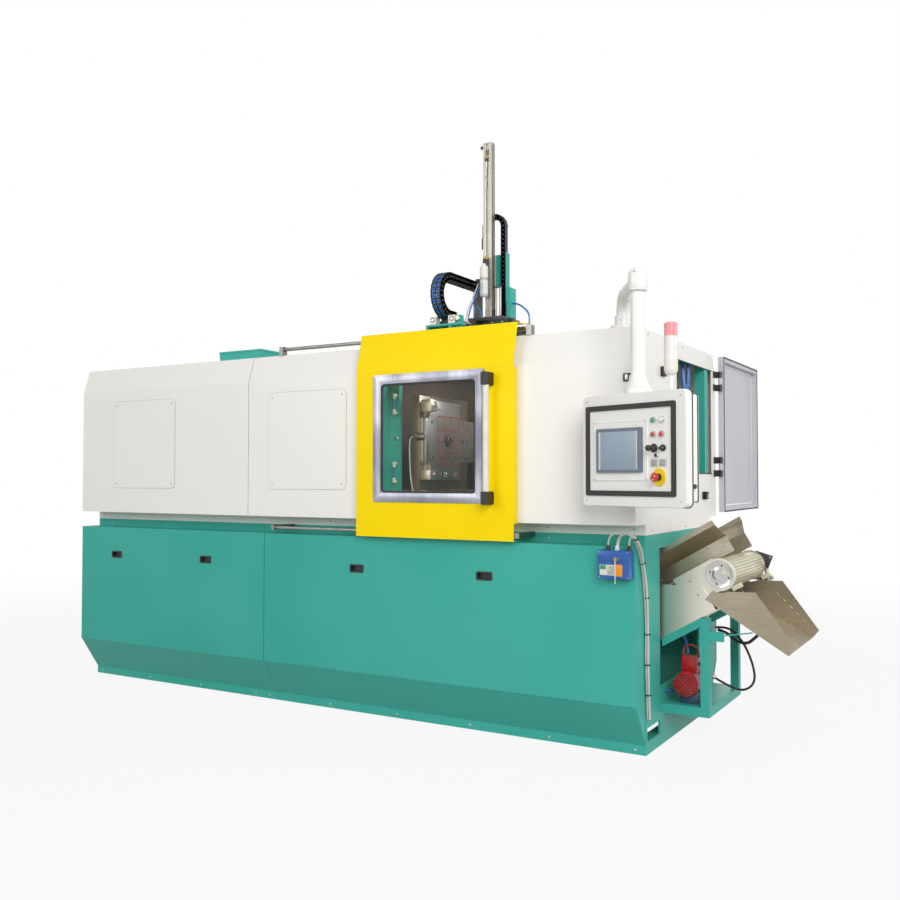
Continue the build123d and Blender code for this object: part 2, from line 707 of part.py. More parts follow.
def make_picker():
    """The picker on the roof: stand, slide rails, carriage, mast and its two cable chains."""
    slides = [mast_x + reach for reach in slide_from_mast]
    rail_z = stand_top + slide_rise
    plate_low = rail_z + slide_radius + stem_radius
    plate_z = (plate_low, plate_low + carriage_plate)
    mast_y = (carriage_y - mast_size[1] / 2, carriage_y + mast_size[1] / 2)
    make_stand(slides, rail_z)
    make_carriage(slides, rail_z, plate_z, mast_y)

    wide, thick = low_chain_size
    turn_y = low_chain_front + low_chain_radius + thick / 2
    reach = carriage_y + carriage_length / 2 - turn_y
    band = chain_band(low_chain_radius, thick, low_chain_foot, reach)
    chain_x = mast_x + low_chain_from_mast
    low_chain = drawn_x(Pos(turn_y, low_chain_height) * band, (chain_x - wide / 2, chain_x + wide / 2))
    parts["low_chain"] = low_chain

    wide, thick = high_chain_size
    chain_y = (mast_y[1] + chain_clear, mast_y[1] + chain_clear + wide)
    centre_x = mast_x + high_chain_from_mast - high_chain_radius
    centre_z = roof_height + high_chain_rise - high_chain_radius - thick / 2
    band = chain_band(high_chain_radius, thick, high_chain_end, centre_z - plate_z[1])
    band = Pos(centre_x, centre_z) * Rot(0, 0, -90) * band
    parts["high_chain"] = drawn_y(band, chain_y)

    half = mast_size[0] / 2
    mast_z = (roof_height - mast_drop, roof_height + mast_rise)
    mast = block((mast_x - half, mast_x + half), mast_y, mast_z)
    foot_z = roof_height - mast_drop - mast_foot / 2
    mast += Pos(mast_x, carriage_y, foot_z) * Cylinder(mast_foot_radius, mast_foot)
    clip_x = (centre_x - high_chain_radius - thick / 2, mast_x)
    clip_z = (centre_z - high_chain_end, centre_z - high_chain_end + 2 * thick)
    mast += block(clip_x, (mast_y[1], mast_y[1] + chain_clear - slide_fit), clip_z)
    parts["mast"] = mast


def make_pendant():
    """The operator's pendant: roof base, bent pipe, turning box with screen, buttons and beacon."""
    ring, collar = 16, 50
    base = Pos(pendant_x, pendant_y, roof_height + ring / 2) * Cylinder(62, ring)
    base += Pos(pendant_x, pendant_y, roof_height + ring + collar / 2) * Cylinder(42, collar)
    parts["pendant_base"] = base
    bottom = roof_height + ring + collar + slide_fit
    top = roof_height + pipe_rise
    foot = box_bottom + bezel_height + neck_gap
    line = FilletPolyline(
        (pendant_x, pendant_y, bottom),
        (pendant_x, pendant_y, top),
        (pipe_x, pipe_y, top),
        (pipe_x, pipe_y, foot + neck_radius),
        radius=pipe_bend,
    )
    section = Plane(origin=(pendant_x, pendant_y, bottom), z_dir=(0, 0, 1)) * Circle(pipe_radius)
    parts["pendant_pipe"] = sweep(section, path=line)

    place = Location((pipe_x, pipe_y, box_bottom), (0, 0, pendant_turn))
    front = -bezel_front
    back = front + bezel_depth

    def raised(sketch, proud, base_y=front):
        """A flat piece on the front that stands proud of what carries it."""
        return drawn_y(sketch, (base_y - proud, base_y))

    bezel = drawn_y(oblong(bezel_x, (0, bezel_height), bezel_corner), (front, back))
    parts["pendant_bezel"] = place * (bezel + raised(oblong(plate_x, plate_z), plate_proud))
    inside_x, inside_z = [(low + trim_bar, high - trim_bar) for low, high in (trim_x, trim_z)]
    inside = oblong(inside_x, inside_z, 6)
    parts["pendant_trim"] = place * raised(oblong(trim_x, trim_z, 10) - inside, trim_proud)
    on_plate = front - plate_proud
    screen = raised(oblong(screen_x, screen_z, 6), screen_proud, on_plate)
    screen -= raised(oblong(display_x, display_z), display_sunk, on_plate - screen_proud + display_sunk)
    parts["pendant_screen"] = place * screen
    buttons = []
    for x in button_x:
        for z in button_z:
            button = disc(x, z, button_radius, (front - button_proud / 2, front))
            buttons.append(button + disc(x, z, button_radius - 4, (front - button_proud, front)))
    key = disc(*key_place, button_radius - 3, (front - button_proud, front))
    for x, z in grey_plates:
        half = grey_plate / 2
        key += raised(oblong((x - half, x + half), (z - half, z + half - 6), 3), sheet)
    parts["pendant_buttons"] = place * Compound(buttons + [key])
    stick = disc(stick_x, stick_z, 2 * stick_radius - 6, (front - sheet, front))
    stick += disc(stick_x, stick_z, stick_radius / 2, (front - 3 * stick_radius, front))
    stick += Pos(stick_x, front - 3 * stick_radius, stick_z) * Sphere(stick_radius)
    selector = disc(selector_x, stick_z, button_radius, (front - button_proud, front))
    parts["pendant_levers"] = place * Compound([stick, selector])
    x, z = stop_place
    stop = disc(x, z, stop_radius, (front - 6, front)) + disc(x, z, stop_head / 2, (front - 30, front))
    stop += disc(x, z, stop_head, (front - 44, front - 26))
    parts["stop_button"] = place * stop

    housing = drawn_y(oblong(housing_x, housing_z, 8), (back, back + housing_depth))
    neck_low, neck_high = housing_z[1], foot + neck_radius - box_bottom - neck_clear
    middle, tall = (neck_low + neck_high) / 2, neck_high - neck_low
    neck = Pos(0, 0, middle - neck_radius / 2) * Cylinder(neck_radius, tall - neck_radius)
    neck += Pos(0, 0, middle) * Cylinder(pipe_radius + 8, tall)
    neck -= block((-2 * neck_radius, 2 * neck_radius), (-2 * neck_radius, back), (0, bezel_height))
    gland_y = back + housing_depth / 2
    gland = rod((housing_x[1], gland_y, gland_z), (housing_x[1] + 18, gland_y, gland_z), gland_radius)
    x, y = beacon_place
    lens = (beacon_rise - beacon_height, beacon_rise)
    pole = Pos(x, y, (housing_z[1] + lens[0]) / 2) * Cylinder(beacon_pole, lens[0] - housing_z[1])
    parts["pendant_housing"] = place * (housing + neck + gland + pole)
    parts["beacon"] = place * (Pos(x, y, sum(lens) / 2) * Cylinder(beacon_radius, beacon_height))


def make_conveyor():
    """The inclined conveyor: tank, belt, flared guards, head drum in its cheeks, frame and chute."""
    slope = radians(incline)
    at_drum = Pos(drum_x, drum_z) * Rot(0, 0, incline)

    def along(distance, rise):
        """A point in (X, Z) from a distance up the belt from the drum's axis and a rise above it."""
        x = drum_x + distance * cos(slope) - rise * sin(slope)
        return x, drum_z + distance * sin(slope) + rise * cos(slope)

    inner = drum_radius + drum_fit
    outer = inner + belt_thickness
    loop = SlotCenterToCenter(belt_run, 2 * outer) - SlotCenterToCenter(belt_run, 2 * inner)
    belt = drawn_y(at_drum * Pos(-belt_run / 2, 0) * loop, (-drum_width / 2, drum_width / 2))
    reach = guard_wall - cleat_clear
    for step in range(cleat_count):
        at = Pos(-belt_run + (step + 0.5) * belt_run / cleat_count, outer + cleat_height / 2 - 1)
        belt += drawn_y(at_drum * at * Rectangle(cleat_thickness, cleat_height + 2), (-reach, reach))
    parts["belt"] = belt
    half = tank_width / 2
    for name, (x, z) in (("head_drum", (drum_x, drum_z)), ("tail_roller", along(-belt_run, 0))):
        drum = disc(x, z, drum_radius, (-drum_width / 2, drum_width / 2))
        parts[name] = drum + disc(x, z, shaft_radius, (-half + sheet, half - sheet))

    wall_low, wall_high, lip_low, lip_high = guard_heights
    section = folded([
        (guard_wall, wall_low), (guard_wall, wall_high), (guard_lip, lip_low), (guard_lip, lip_high),
    ], guard_sheet)
    belt_plane = Plane(origin=(drum_x, 0, drum_z), x_dir=(0, 1, 0), z_dir=(cos(slope), 0, sin(slope)))
    guard = extrude(belt_plane.offset(guard_run[0]) * section, amount=guard_run[1] - guard_run[0])
    parts["belt_guards"] = Compound([guard, mirrored(guard)])

    tank_top, tank_left = deck_top - tank_drop, right - tank_from_right
    low_corner = along(tank_end, tank_bottom)

    def underside(x):
        """The height of the tank's sloping underside."""
        return low_corner[1] - (low_corner[0] - x) * tan(slope)

    high_corner = (low_corner[0] - (tank_top - low_corner[1]) * tan(slope), tank_top)
    low_left = (tank_left, underside(tank_left))
    side_view = outline(low_left, low_corner, high_corner, (tank_left, tank_top))
    tank = drawn_y(side_view, (-half, half)) - drawn_y(side_view, (-half + sheet, half - sheet))
    inner_edge = (low_corner[0], low_corner[1] + sheet), (tank_left, low_left[1] + sheet)
    floor = outline(low_left, low_corner, *inner_edge)
    tank += drawn_y(floor, (-half, half))
    bore = Circle(shaft_radius + drum_fit)
    cheek_plate = at_drum * (Circle(drum_radius) + oblong(cheek_run, cheek_rise) - bore)
    tank += both(drawn_y(cheek_plate, (-half + sheet, -half + sheet + cheek)))
    tank += both(drawn_y(at_drum * (Circle(drum_radius) - bore), (-half, -half + sheet)))
    cap = Circle(cap_radius) - PolarLocations(cap_bolt_circle, 4, 45) * Circle(cap_bolt)
    tank += both(drawn_y(at_drum * cap, (-half - cap_thickness, -half)))
    tank += both(drawn_y(at_drum * Circle(cap_boss), (-half - 2 * cap_thickness, -half - cap_thickness)))
    parts["tank"] = tank

    y = (-half - 1, -half - 1 + frame_tube)
    frame_right = right + frame_reach
    post_x = (frame_right - frame_tube, frame_right)
    rail_z = (frame_bottom, frame_bottom + frame_tube)
    frame = both(block(post_x, y, (frame_bottom, underside(post_x[0]))))
    frame += both(block((right, post_x[0]), y, rail_z))
    frame += block(post_x, (y[0], -y[0]), rail_z)
    frame += block((right, frame_right), (y[0], -y[0]), (rail_z[1], rail_z[1] + shelf))
    beam = outline(
        (right, underside(right)), (post_x[0], underside(post_x[0])),
        (post_x[0], underside(post_x[0]) - frame_tube), (right, underside(right) - frame_tube),
    )
    frame += both(drawn_y(beam, y))
    wide, high = stay_plate
    stay_z = (stay_height - high / 2, stay_height + high / 2)
    frame += block((frame_right, frame_right + wide), (y[0], y[0] + stay_radius), stay_z)
    chute_points = [(drum_x + x, drum_z + z) for x, z in chute_from_drum]
    first, last = chute_points[0], chute_points[-1]
    fall = (first[1] - last[1]) / (last[0] - first[0])
    stay_end = frame_right + wide + 140
    stay_y = y[0] + stay_radius / 2
    end_z = first[1] - (stay_end - first[0]) * fall - stay_radius
    frame += rod((frame_right + wide / 2, stay_y, stay_height), (stay_end, stay_y, end_z), stay_radius / 2)
    parts["conveyor_frame"] = frame - drawn_y(side_view, (-half, half))

    walls = outline(*chute_points) - Pos(drum_x, drum_z) * Circle(drum_radius + chute_clear)
    wide = half + sheet
    chute = both(drawn_y(walls, (-wide, -half)))
    top_x = first[0] + drum_radius + chute_clear - 2
    top = top_x, first[1] - (top_x - first[0]) * fall
    floor = outline(top, last, (last[0] + 2, last[1] + sheet), (top[0] + 2, top[1] + sheet))
    parts["chute"] = chute + drawn_y(floor, (-wide, wide))

    y = (half + 2 * cap_thickness, half + 2 * cap_thickness + drive_thickness)
    arm = outline(*[(drum_x + x, drum_z + z) for x, z in drive_arm])
    x, z = drum_x + wheel_from_drum[0], drum_z + wheel_from_drum[1]
    drive = drawn_y(arm, y)
    drive += Pos(x, wheel_y, z) * Cylinder(wheel_radius, wheel_thickness)
    link_x = x + link_width
    drive += block((link_x, link_x + link_width), (y[0], y[1] + drive_thickness), (z, drum_z - link_width))
    parts["drive"] = drive


def make_services():
    """Pump and hose on the conveyor's frame, control box and cable bundle, box on the roof."""
    shelf_top = frame_bottom + frame_tube + shelf
    front, back = pump_y
    pump = disc(pump_x, pump_height, pump_radius, (front + cowl_length, back))
    pump += disc(pump_x, pump_height, cowl_radius, (front, front + cowl_length))
    pump += disc(pump_x, pump_height, volute_radius, (back, back + volute_length))
    middle = (front + back) / 2
    foot_x, foot_y = [(place - pump_foot, place + pump_foot) for place in (pump_x, middle)]
    pump += block(foot_x, foot_y, (shelf_top, pump_height))
    wide, deep, high = terminal_box
    box_y = (front + cowl_length + 4, front + cowl_length + 4 + deep)
    box_z = (pump_height, pump_height + pump_radius + high)
    pump += block((pump_x - pump_foot, pump_x - pump_foot + wide), box_y, box_z)
    hose = [Vector(right + x, y, z) for x, y, z in hose_route]
    low_end = hose[-1] + (hose[-1] - hose[-2]).normalized() * fitting_length
    pipe_y = hose[-1].Y
    elbow = (pump_x, pipe_y, low_end.Z)
    volute_end = back + volute_length
    inlet = [(pump_x, volute_end, low_end.Z), elbow, low_end, hose[-1]]
    pump += disc(pump_x, low_end.Z, 2 * pipe_fitting, (volute_end, volute_end + pipe_fitting))
    parts["pump"] = pump + flexible(inlet, pipe_fitting)
    high_end = hose[0] - (hose[1] - hose[0]).normalized() * fitting_length
    parts["loop_hose"] = flexible(hose, hose_radius)
    slope = radians(incline)
    corner_x = drum_x + tank_end * cos(slope) - tank_bottom * sin(slope)
    corner_z = drum_z + tank_end * sin(slope) + tank_bottom * cos(slope)
    drain_top = corner_z - (corner_x - high_end.X) * tan(slope) + pipe_fitting
    parts["tank"] += flexible([(high_end.X, high_end.Y, drain_top), high_end, hose[0]], pipe_fitting)

    x = (right - control_box_from_right[0], right - control_box_from_right[1])
    z = (guard_top - control_box_drop[0], guard_top - control_box_drop[1])
    box = block(x, (-face - control_box_depth, -face), z)
    middle = -face - control_box_depth / 2
    for reach in box_glands:
        top = z[1] + box_gland_height
        box += rod((x[0] + reach, middle, z[1]), (x[0] + reach, middle, top), box_gland_radius)
    knob_x, knob_z = x[0] + knob_place[0], z[0] + knob_place[1]
    front = -face - control_box_depth
    box += disc(knob_x, knob_z, knob_radius, (front - knob_height, front))
    parts["control_box"] = box
    bundle = [(right + x, -face + y, guard_top + z) for x, y, z in bundle_route]
    parts["cable_bundle"] = flexible(bundle, bundle_radius)
    roof_box_x = [left + reach for reach in roof_box_from_left]
    parts["roof_box"] = block(roof_box_x, roof_box_y, (roof_height, roof_height + roof_box_height))


def main():
    make_bed()
    make_guards()
    make_enclosure()
    make_door()
    make_end_door()
    make_press()
    make_picker()
    make_pendant()
    make_conveyor()
    make_services()
    os.makedirs("parts", exist_ok=True)
    for name, shape in parts.items():
        export_step(shape, f"parts/{name}.step")


main()
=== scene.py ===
"""Looks of an enclosed wax pattern moulding machine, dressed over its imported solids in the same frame.

Sizes in the classes are millimetres from the machine's origin, the middle of the bed's underside:
X along the bed, Y from the operator's side to the back, Z up. The mesh builder turns them to metres.
"""

import logging
import math
from collections.abc import Iterable, Iterator, Sequence
from contextlib import contextmanager
from dataclasses import dataclass
from enum import Enum
from itertools import product

import bmesh
import bpy
from mathutils import Matrix, Vector


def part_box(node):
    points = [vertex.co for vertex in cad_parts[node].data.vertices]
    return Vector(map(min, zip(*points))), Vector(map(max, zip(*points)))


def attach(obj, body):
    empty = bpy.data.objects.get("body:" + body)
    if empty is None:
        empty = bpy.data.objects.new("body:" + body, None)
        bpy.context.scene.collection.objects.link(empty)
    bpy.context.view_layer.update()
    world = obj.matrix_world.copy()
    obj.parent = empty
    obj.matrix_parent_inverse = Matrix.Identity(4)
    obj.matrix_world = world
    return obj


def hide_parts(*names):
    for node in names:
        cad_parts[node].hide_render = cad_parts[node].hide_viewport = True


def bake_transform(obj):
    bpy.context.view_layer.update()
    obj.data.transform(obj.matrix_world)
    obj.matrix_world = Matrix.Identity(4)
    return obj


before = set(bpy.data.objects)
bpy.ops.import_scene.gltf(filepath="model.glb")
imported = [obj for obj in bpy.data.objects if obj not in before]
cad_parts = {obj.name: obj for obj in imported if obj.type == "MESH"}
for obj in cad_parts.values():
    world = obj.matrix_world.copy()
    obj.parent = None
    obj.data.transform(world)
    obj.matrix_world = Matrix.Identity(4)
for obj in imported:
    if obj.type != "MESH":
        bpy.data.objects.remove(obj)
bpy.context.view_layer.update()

LOG = logging.getLogger("moulding_machine")
MM = 0.001
SHARP = math.radians(32)
STILL = Matrix.Identity(4)
# Turns a flat form drawn in (x, z) to stand upright, with its third measure along Y.
UPRIGHT = Matrix(((1, 0, 0, 0), (0, 0, 1, 0), (0, 1, 0, 0), (0, 0, 0, 1)))
# Turns a flat form drawn in (y, z) to stand across the bed, with its third measure along X.
ACROSS = Matrix(((0, 0, 1, 0), (1, 0, 0, 0), (0, 1, 0, 0), (0, 0, 0, 1)))

Point = tuple[float, float, float]
Pair = tuple[float, float]
Span = tuple[float, float]

# The ways that fittings stand out.
UP, FRONT, BACK, RIGHT = (0, 0, 1), (0, -1, 0), (0, 1, 0), (1, 0, 0)
# Points of a form that are nearer than this are one point, in millimetres.
TOUCH = 1e-4
# Noise lies close about its middle; this part of it is spread over the whole of a look.
NOISE_MIDDLE = {"From Min": 0.3, "From Max": 0.7}
BUMP_STRENGTH = 0.35
COAT_ROUGHNESS = 0.12
POLYCARBONATE_IOR = 1.58
# How much light a lamp lens scatters, and how far in metres red, green and blue go.
LENS_SCATTER, LENS_REACH = 0.35, (0.02, 0.012, 0.012)


def linear(code: str) -> tuple[float, float, float, float]:
    """Turns an sRGB hex colour to linear light.

    Args:
        code: The colour as six hex digits after a hash.

    Returns:
        Red, green, blue and alpha.
    """
    shares = [int(code[place : place + 2], 16) / 255 for place in (1, 3, 5)]
    light = [c / 12.92 if c <= 0.04045 else ((c + 0.055) / 1.055) ** 2.4 for c in shares]
    return (*light, 1.0)


def add_node(
    tree: bpy.types.NodeTree, kind: str, settings: dict | None = None, values: dict | None = None,
    links: dict | None = None,
) -> bpy.types.Node:
    """Adds a node with its settings, socket values and links.

    Args:
        tree: The node tree that gets the node.
        kind: The node's type name, less its first two words.
        settings: Properties of the node itself.
        values: Socket values, by socket name or number.
        links: What feeds each socket, as (node, output name or number).

    Returns:
        The new node.
    """
    node = tree.nodes.new(f"ShaderNode{kind}")
    for name, value in (settings or {}).items():
        setattr(node, name, value)
    for socket, value in (values or {}).items():
        node.inputs[socket].default_value = value
    for socket, (source, output) in (links or {}).items():
        tree.links.new(source.outputs[output], node.inputs[socket])
    return node


def new_object(name: str, data: bpy.types.ID) -> bpy.types.Object:
    """Puts new data into the scene as an object of its name."""
    made = bpy.data.objects.new(name, data)
    bpy.context.scene.collection.objects.link(made)
    return made


def new_tree(owner: bpy.types.Material | bpy.types.World) -> bpy.types.NodeTree:
    """Gives a material or world an empty node tree."""
    owner.use_nodes = True
    owner.node_tree.nodes.clear()
    return owner.node_tree


def lay_line(name: str, points: Sequence[Point], radius: float, rounds: int, steps: int) -> bpy.types.Curve:
    """Lays a round tube along one smooth open line.

    Args:
        name: The curve's name.
        points: The line's control points.
        radius: The tube's radius.
        rounds: How finely its section is cut.
        steps: How finely its length is cut.

    Returns:
        The curve, in the points' own unit.
    """
    curve = bpy.data.curves.new(name, "CURVE")
    curve.dimensions = "3D"
    curve.bevel_depth = radius
    curve.bevel_resolution = rounds
    curve.use_fill_caps = True
    curve.resolution_u = steps
    spline = curve.splines.new("NURBS")
    spline.points.add(len(points) - 1)
    for held, point in zip(spline.points, points):
        held.co = (*point, 1)
    spline.order_u = 3
    spline.use_endpoint_u = True
    return curve


def soften(form: bmesh.types.BMesh, edges: list[bmesh.types.BMEdge], width: float, segments: int = 2) -> None:
    """Rounds some edges of a form by a width; nought leaves them sharp."""
    if width:
        bmesh.ops.bevel(form, geom=edges, offset=width, segments=segments, profile=0.5, affect="EDGES", material=-1)


def thicken(form: bmesh.types.BMesh, height: float) -> None:
    """Gives a flat form a thickness along its third axis."""
    grown = bmesh.ops.extrude_face_region(form, geom=form.faces[:])
    raised = [part for part in grown["geom"] if isinstance(part, bmesh.types.BMVert)]
    bmesh.ops.translate(form, vec=(0, 0, height), verts=raised)


def around(count: int, start: float = 0.0) -> list[float]:
    """Shares a full turn into equal steps, as angles in radians."""
    return [start + step * math.tau / count for step in range(count)]


def about(middle: float, half: float) -> Span:
    """Gives the span that reaches as far to both sides of its middle."""
    return middle - half, middle + half


def grown(span: Span, more: float) -> Span:
    """Gives a span that is longer at both ends, or shorter where more is below nought."""
    return span[0] - more, span[1] + more


class Surface(Enum):
    """How a finish was made, which decides the pattern and the shader."""

    COATED = "sprayed and baked paint"
    METAL = "bare metal with its working lines"
    MOULDED = "moulded plastic or rubber"
    CLEAR = "clear sheet"
    LENS = "tinted lamp lens"


@dataclass(frozen=True)
class Finish:
    """One finish: its colour, how it was made, and the real size of its pattern.

    Attributes:
        name: The finish in plain words.
        colour: Its colour, as sRGB hex.
        surface: How it was made.
        roughness: The middle of its roughness.
        drift: The colour that it drifts to in soft patches.
        patch: The width of those patches, in millimetres.
        grain: The width of its fine pattern, in millimetres.
        depth: The height of that fine pattern, in millimetres.
        lines: How much longer the fine pattern is along each axis, for brushed or milled metal.
        spread: How far the roughness strays from its middle.
        contrast: How clearly the patches show, from 0 to 1.
        coat: The weight of the clear layer on top.
        alpha: How much of a clear sheet stops the eye.
        gloss: How strongly paint or plastic mirrors, 0.5 being the usual share.
        streak: The share of bare metal's working lines in its colour.
    """

    name: str
    colour: str
    surface: Surface
    roughness: float
    drift: str
    patch: float = 400.0
    grain: float = 3.0
    depth: float = 0.04
    lines: Point = (1.0, 1.0, 1.0)
    spread: float = 0.05
    contrast: float = 0.6
    coat: float = 0.0
    alpha: float = 1.0
    gloss: float = 0.5
    streak: float = 0.45

    def material(self) -> bpy.types.Material:
        """Builds the finish's material, or returns it if it is there already.

        Returns:
            A material whose pattern has its real size on any piece.
        """
        made = bpy.data.materials.get(self.name)
        if made:
            return made
        made = bpy.data.materials.new(self.name)
        tree = new_tree(made)
        metal = self.surface is Surface.METAL
        place = add_node(tree, "TexCoord")
        scale = [1 / length for length in self.lines]
        stretched = add_node(tree, "Mapping", values={"Scale": scale}, links={"Vector": (place, "Object")})
        patches, fine = (
            add_node(tree, "TexNoise", values={"Scale": 1000 / size, "Detail": detail}, links={"Vector": source})
            for size, detail, source in (
                (self.patch, 1.5, (place, "Object")), (self.grain, 3.0, (stretched, "Vector")),
            )
        )
        share = patches
        if metal:
            share = add_node(tree, "Mix", values={"Factor": self.streak}, links={2: (patches, 0), 3: (fine, 0)})
        spread = NOISE_MIDDLE | {"To Min": 0.0, "To Max": self.contrast}
        softened = add_node(tree, "MapRange", {"interpolation_type": "SMOOTHSTEP"}, spread, {"Value": (share, 0)})
        tints = {6: linear(self.colour), 7: linear(self.drift)}
        colour = add_node(tree, "Mix", {"data_type": "RGBA"}, tints, {0: (softened, 0)})
        ends = {"To Min": max(self.roughness - self.spread, 0.02), "To Max": self.roughness + self.spread}
        rough = add_node(tree, "MapRange", values=NOISE_MIDDLE | ends, links={"Value": (fine if metal else patches, 0)})
        relief = {"Strength": BUMP_STRENGTH, "Distance": self.depth * MM}
        bump = add_node(tree, "Bump", values=relief, links={"Height": (fine, 0)})
        shader = add_node(
            tree, "BsdfPrincipled",
            values={"Alpha": self.alpha, "Coat Weight": self.coat, "Coat Roughness": COAT_ROUGHNESS},
            links={"Base Color": (colour, 2), "Roughness": (rough, 0), "Normal": (bump, 0)},
        )
        if metal:
            shader.inputs["Metallic"].default_value = 1.0
        else:
            shader.inputs["Specular IOR Level"].default_value = self.gloss
        if self.surface is Surface.CLEAR:
            shader.inputs["IOR"].default_value = POLYCARBONATE_IOR
        if self.surface is Surface.LENS:
            shader.inputs["Subsurface Weight"].default_value = LENS_SCATTER
            shader.inputs["Subsurface Radius"].default_value = LENS_REACH
        add_node(tree, "OutputMaterial", links={"Surface": (shader, 0)})
        return made


# Gloss powder coat on the covers: smooth, faintly warm, with a wide orange peel.
WHITE_COAT = Finish(
    "white gloss powder coat", "#F2F0EB", Surface.COATED, 0.28, "#F0EDE7", patch=900, grain=9, depth=0.03, gloss=0.35,
    spread=0.01,
)
# Semi-gloss enamel on bed, guards and frames: a cool green that goes a little paler in patches.
TEAL_ENAMEL = Finish(
    "teal machine enamel", "#3AA99B", Surface.COATED, 0.42, "#4AB2A5", patch=780, grain=8, spread=0.07, gloss=0.2
)
# The sliding door: a clean signal yellow, glossier than the guards.
YELLOW_COAT = Finish(
    "signal yellow powder coat", "#FFDF00", Surface.COATED, 0.36, "#FCDA00", patch=700, grain=9, depth=0.03, gloss=0.12
)
# Satin coat on the end leaf's inner side, greyer and duller than the covers.
LILAC_COAT = Finish("lilac grey satin coat", "#C6C5CB", Surface.COATED, 0.45, "#BDBCC6", patch=500, grain=7)
# Brushed stainless sheet: grain drawn 6 mm wide, coarser than the real 0.5 mm, so that it shows.
STAINLESS = Finish(
    "brushed stainless sheet", "#DFDACD", Surface.METAL, 0.36, "#BDB6A7", patch=420, grain=6, depth=0.02,
    lines=(14, 14, 1), contrast=0.5,
)
# The chute: thicker sheet, dulled and scratched by the patterns that slide over it.
CHUTE_STEEL = Finish(
    "scratched stainless chute sheet", "#AAA08C", Surface.METAL, 0.42, "#857A66", patch=300, grain=6, depth=0.02,
    lines=(14, 14, 1), spread=0.06,
)
# The cell's lining: satin stainless, its colour painted softer and browner with dark patches as a painted reflection of
# the dark cell.
LINING_STEEL_PAINTED_REFLECTION = Finish(
    "satin stainless lining with painted reflection", "#A89C90", Surface.METAL, 0.4, "#766A5F", patch=330, grain=7, depth=0.02,
    lines=(1, 1, 16), spread=0.06, contrast=0.7,
)
# Belt guards: old brushed sheet, water-stained, with long lines up the incline.
WORN_STEEL = Finish(
    "water-stained stainless sheet", "#C9BEAE", Surface.METAL, 0.38, "#94886F", patch=260, grain=7, depth=0.02,
    lines=(16, 1, 9), spread=0.06,
)
# Turned and ground parts: bright, with fine rings or lines that only break the highlights.
GROUND_STEEL = Finish(
    "ground steel", "#C9C8C4", Surface.METAL, 0.2, "#A9A7A2", patch=60, grain=4, depth=0.02, lines=(1, 6, 1),
    contrast=0.5,
)
# The mould plate: milled alloy, mid grey with cutter lines down its face.
MILLED_ALLOY = Finish(
    "milled mould alloy", "#BDBCBC", Surface.METAL, 0.45, "#9E9B99", patch=160, grain=5, depth=0.02, lines=(1, 1, 12),
    contrast=0.7,
)
# Sawn and faced blocks that clamp the mould: brighter and warmer than the plate.
BRIGHT_ALLOY = Finish(
    "faced clamp alloy", "#DCD4C6", Surface.METAL, 0.42, "#C4BAAA", patch=60, grain=4, depth=0.03, lines=(8, 1, 1)
)
# Natural anodised extrusion of the mast, with die lines along its length.
MAST_ALLOY = Finish(
    "natural anodised extrusion", "#B5B1A7", Surface.METAL, 0.46, "#9F9A90", patch=240, grain=6, depth=0.01,
    lines=(1, 1, 60), contrast=0.5,
)
# The window's frame: satin anodised bar with a cool cast.
FRAME_ALLOY = Finish(
    "satin anodised window frame", "#B4B4BE", Surface.METAL, 0.36, "#73737E", patch=230, grain=7, depth=0.02,
    lines=(1, 1, 24), contrast=1.0, streak=0.14,
)
# Rods and rails: hard chrome, nearly a mirror.
CHROME = Finish(
    "hard chrome rod", "#CFD0D2", Surface.METAL, 0.12, "#B4B5B8", patch=90, grain=5, depth=0.01, contrast=0.4
)
# Drawn guide rods, duller than the chromed rails.
DRAWN_ROD = Finish("drawn steel rod", "#8F8C87", Surface.METAL, 0.28, "#77746F", patch=60, grain=4, lines=(1, 1, 10))
# Zinc plated screws: pale, slightly rough.
ZINC = Finish("zinc plated screw", "#C2C1BA", Surface.METAL, 0.34, "#9A988F", patch=8, grain=2, depth=0.02)
# Blackened steel of clamps, bearings and hinges.
BLACK_OXIDE = Finish(
    "black oxide steel", "#2A2827", Surface.COATED, 0.42, "#3A3735", patch=40, grain=4, depth=0.05, spread=0.08
)
# Moulded black nylon: matt, with a fine spark-eroded grain.
BLACK_NYLON = Finish("moulded black nylon", "#242221", Surface.MOULDED, 0.5, "#302D2B", patch=50, grain=2, depth=0.06)
# Thin grey rim round the access panels: painted shadow of the gap round each panel.
GAP_SHADOW_GREY = Finish("grey painted gap shadow", "#B5B2A9", Surface.MOULDED, 0.6, "#A5A299", patch=60, grain=4)
# Black rubber of gaskets and hoses: dull, with a bloom.
BLACK_RUBBER = Finish("black rubber", "#1E1D1C", Surface.MOULDED, 0.6, "#33302E", patch=70, depth=0.08)
# White nylon of guide blocks, elbows and grips.
WHITE_NYLON = Finish("moulded white nylon", "#E6E4DC", Surface.MOULDED, 0.36, "#DAD7CC", patch=60)
# Housing and pipe of the pendant: smooth white coat, whiter than the covers.
PENDANT_COAT = Finish(
    "white pendant coat", "#EEEDEA", Surface.COATED, 0.3, "#E6E4DF", patch=260, grain=5, depth=0.03, coat=0.2
)
# Slate bezel of the screen, moulded.
SLATE_BEZEL = Finish("moulded slate bezel", "#6F7886", Surface.MOULDED, 0.42, "#667080", patch=80, grain=2)
# The screen itself: a flat film, blue grey; its soft drift to a darker tone is painted glare, which leaves it brighter
# towards one corner.
DISPLAY_PAINTED_GLARE = Finish("display film with painted glare", "#9DAEBB", Surface.COATED, 0.3, "#8598A8", patch=320, depth=0.01)
# Bright strips at the sides of the screen.
SCREEN_EDGE = Finish("pale screen edge", "#D9DDE0", Surface.MOULDED, 0.4, "#CBD0D4", patch=60)
# Small scale plates: matt grey film.
GREY_LABEL = Finish("grey scale plate", "#BDBCB6", Surface.COATED, 0.5, "#A7A6A0", patch=14, contrast=0.9)
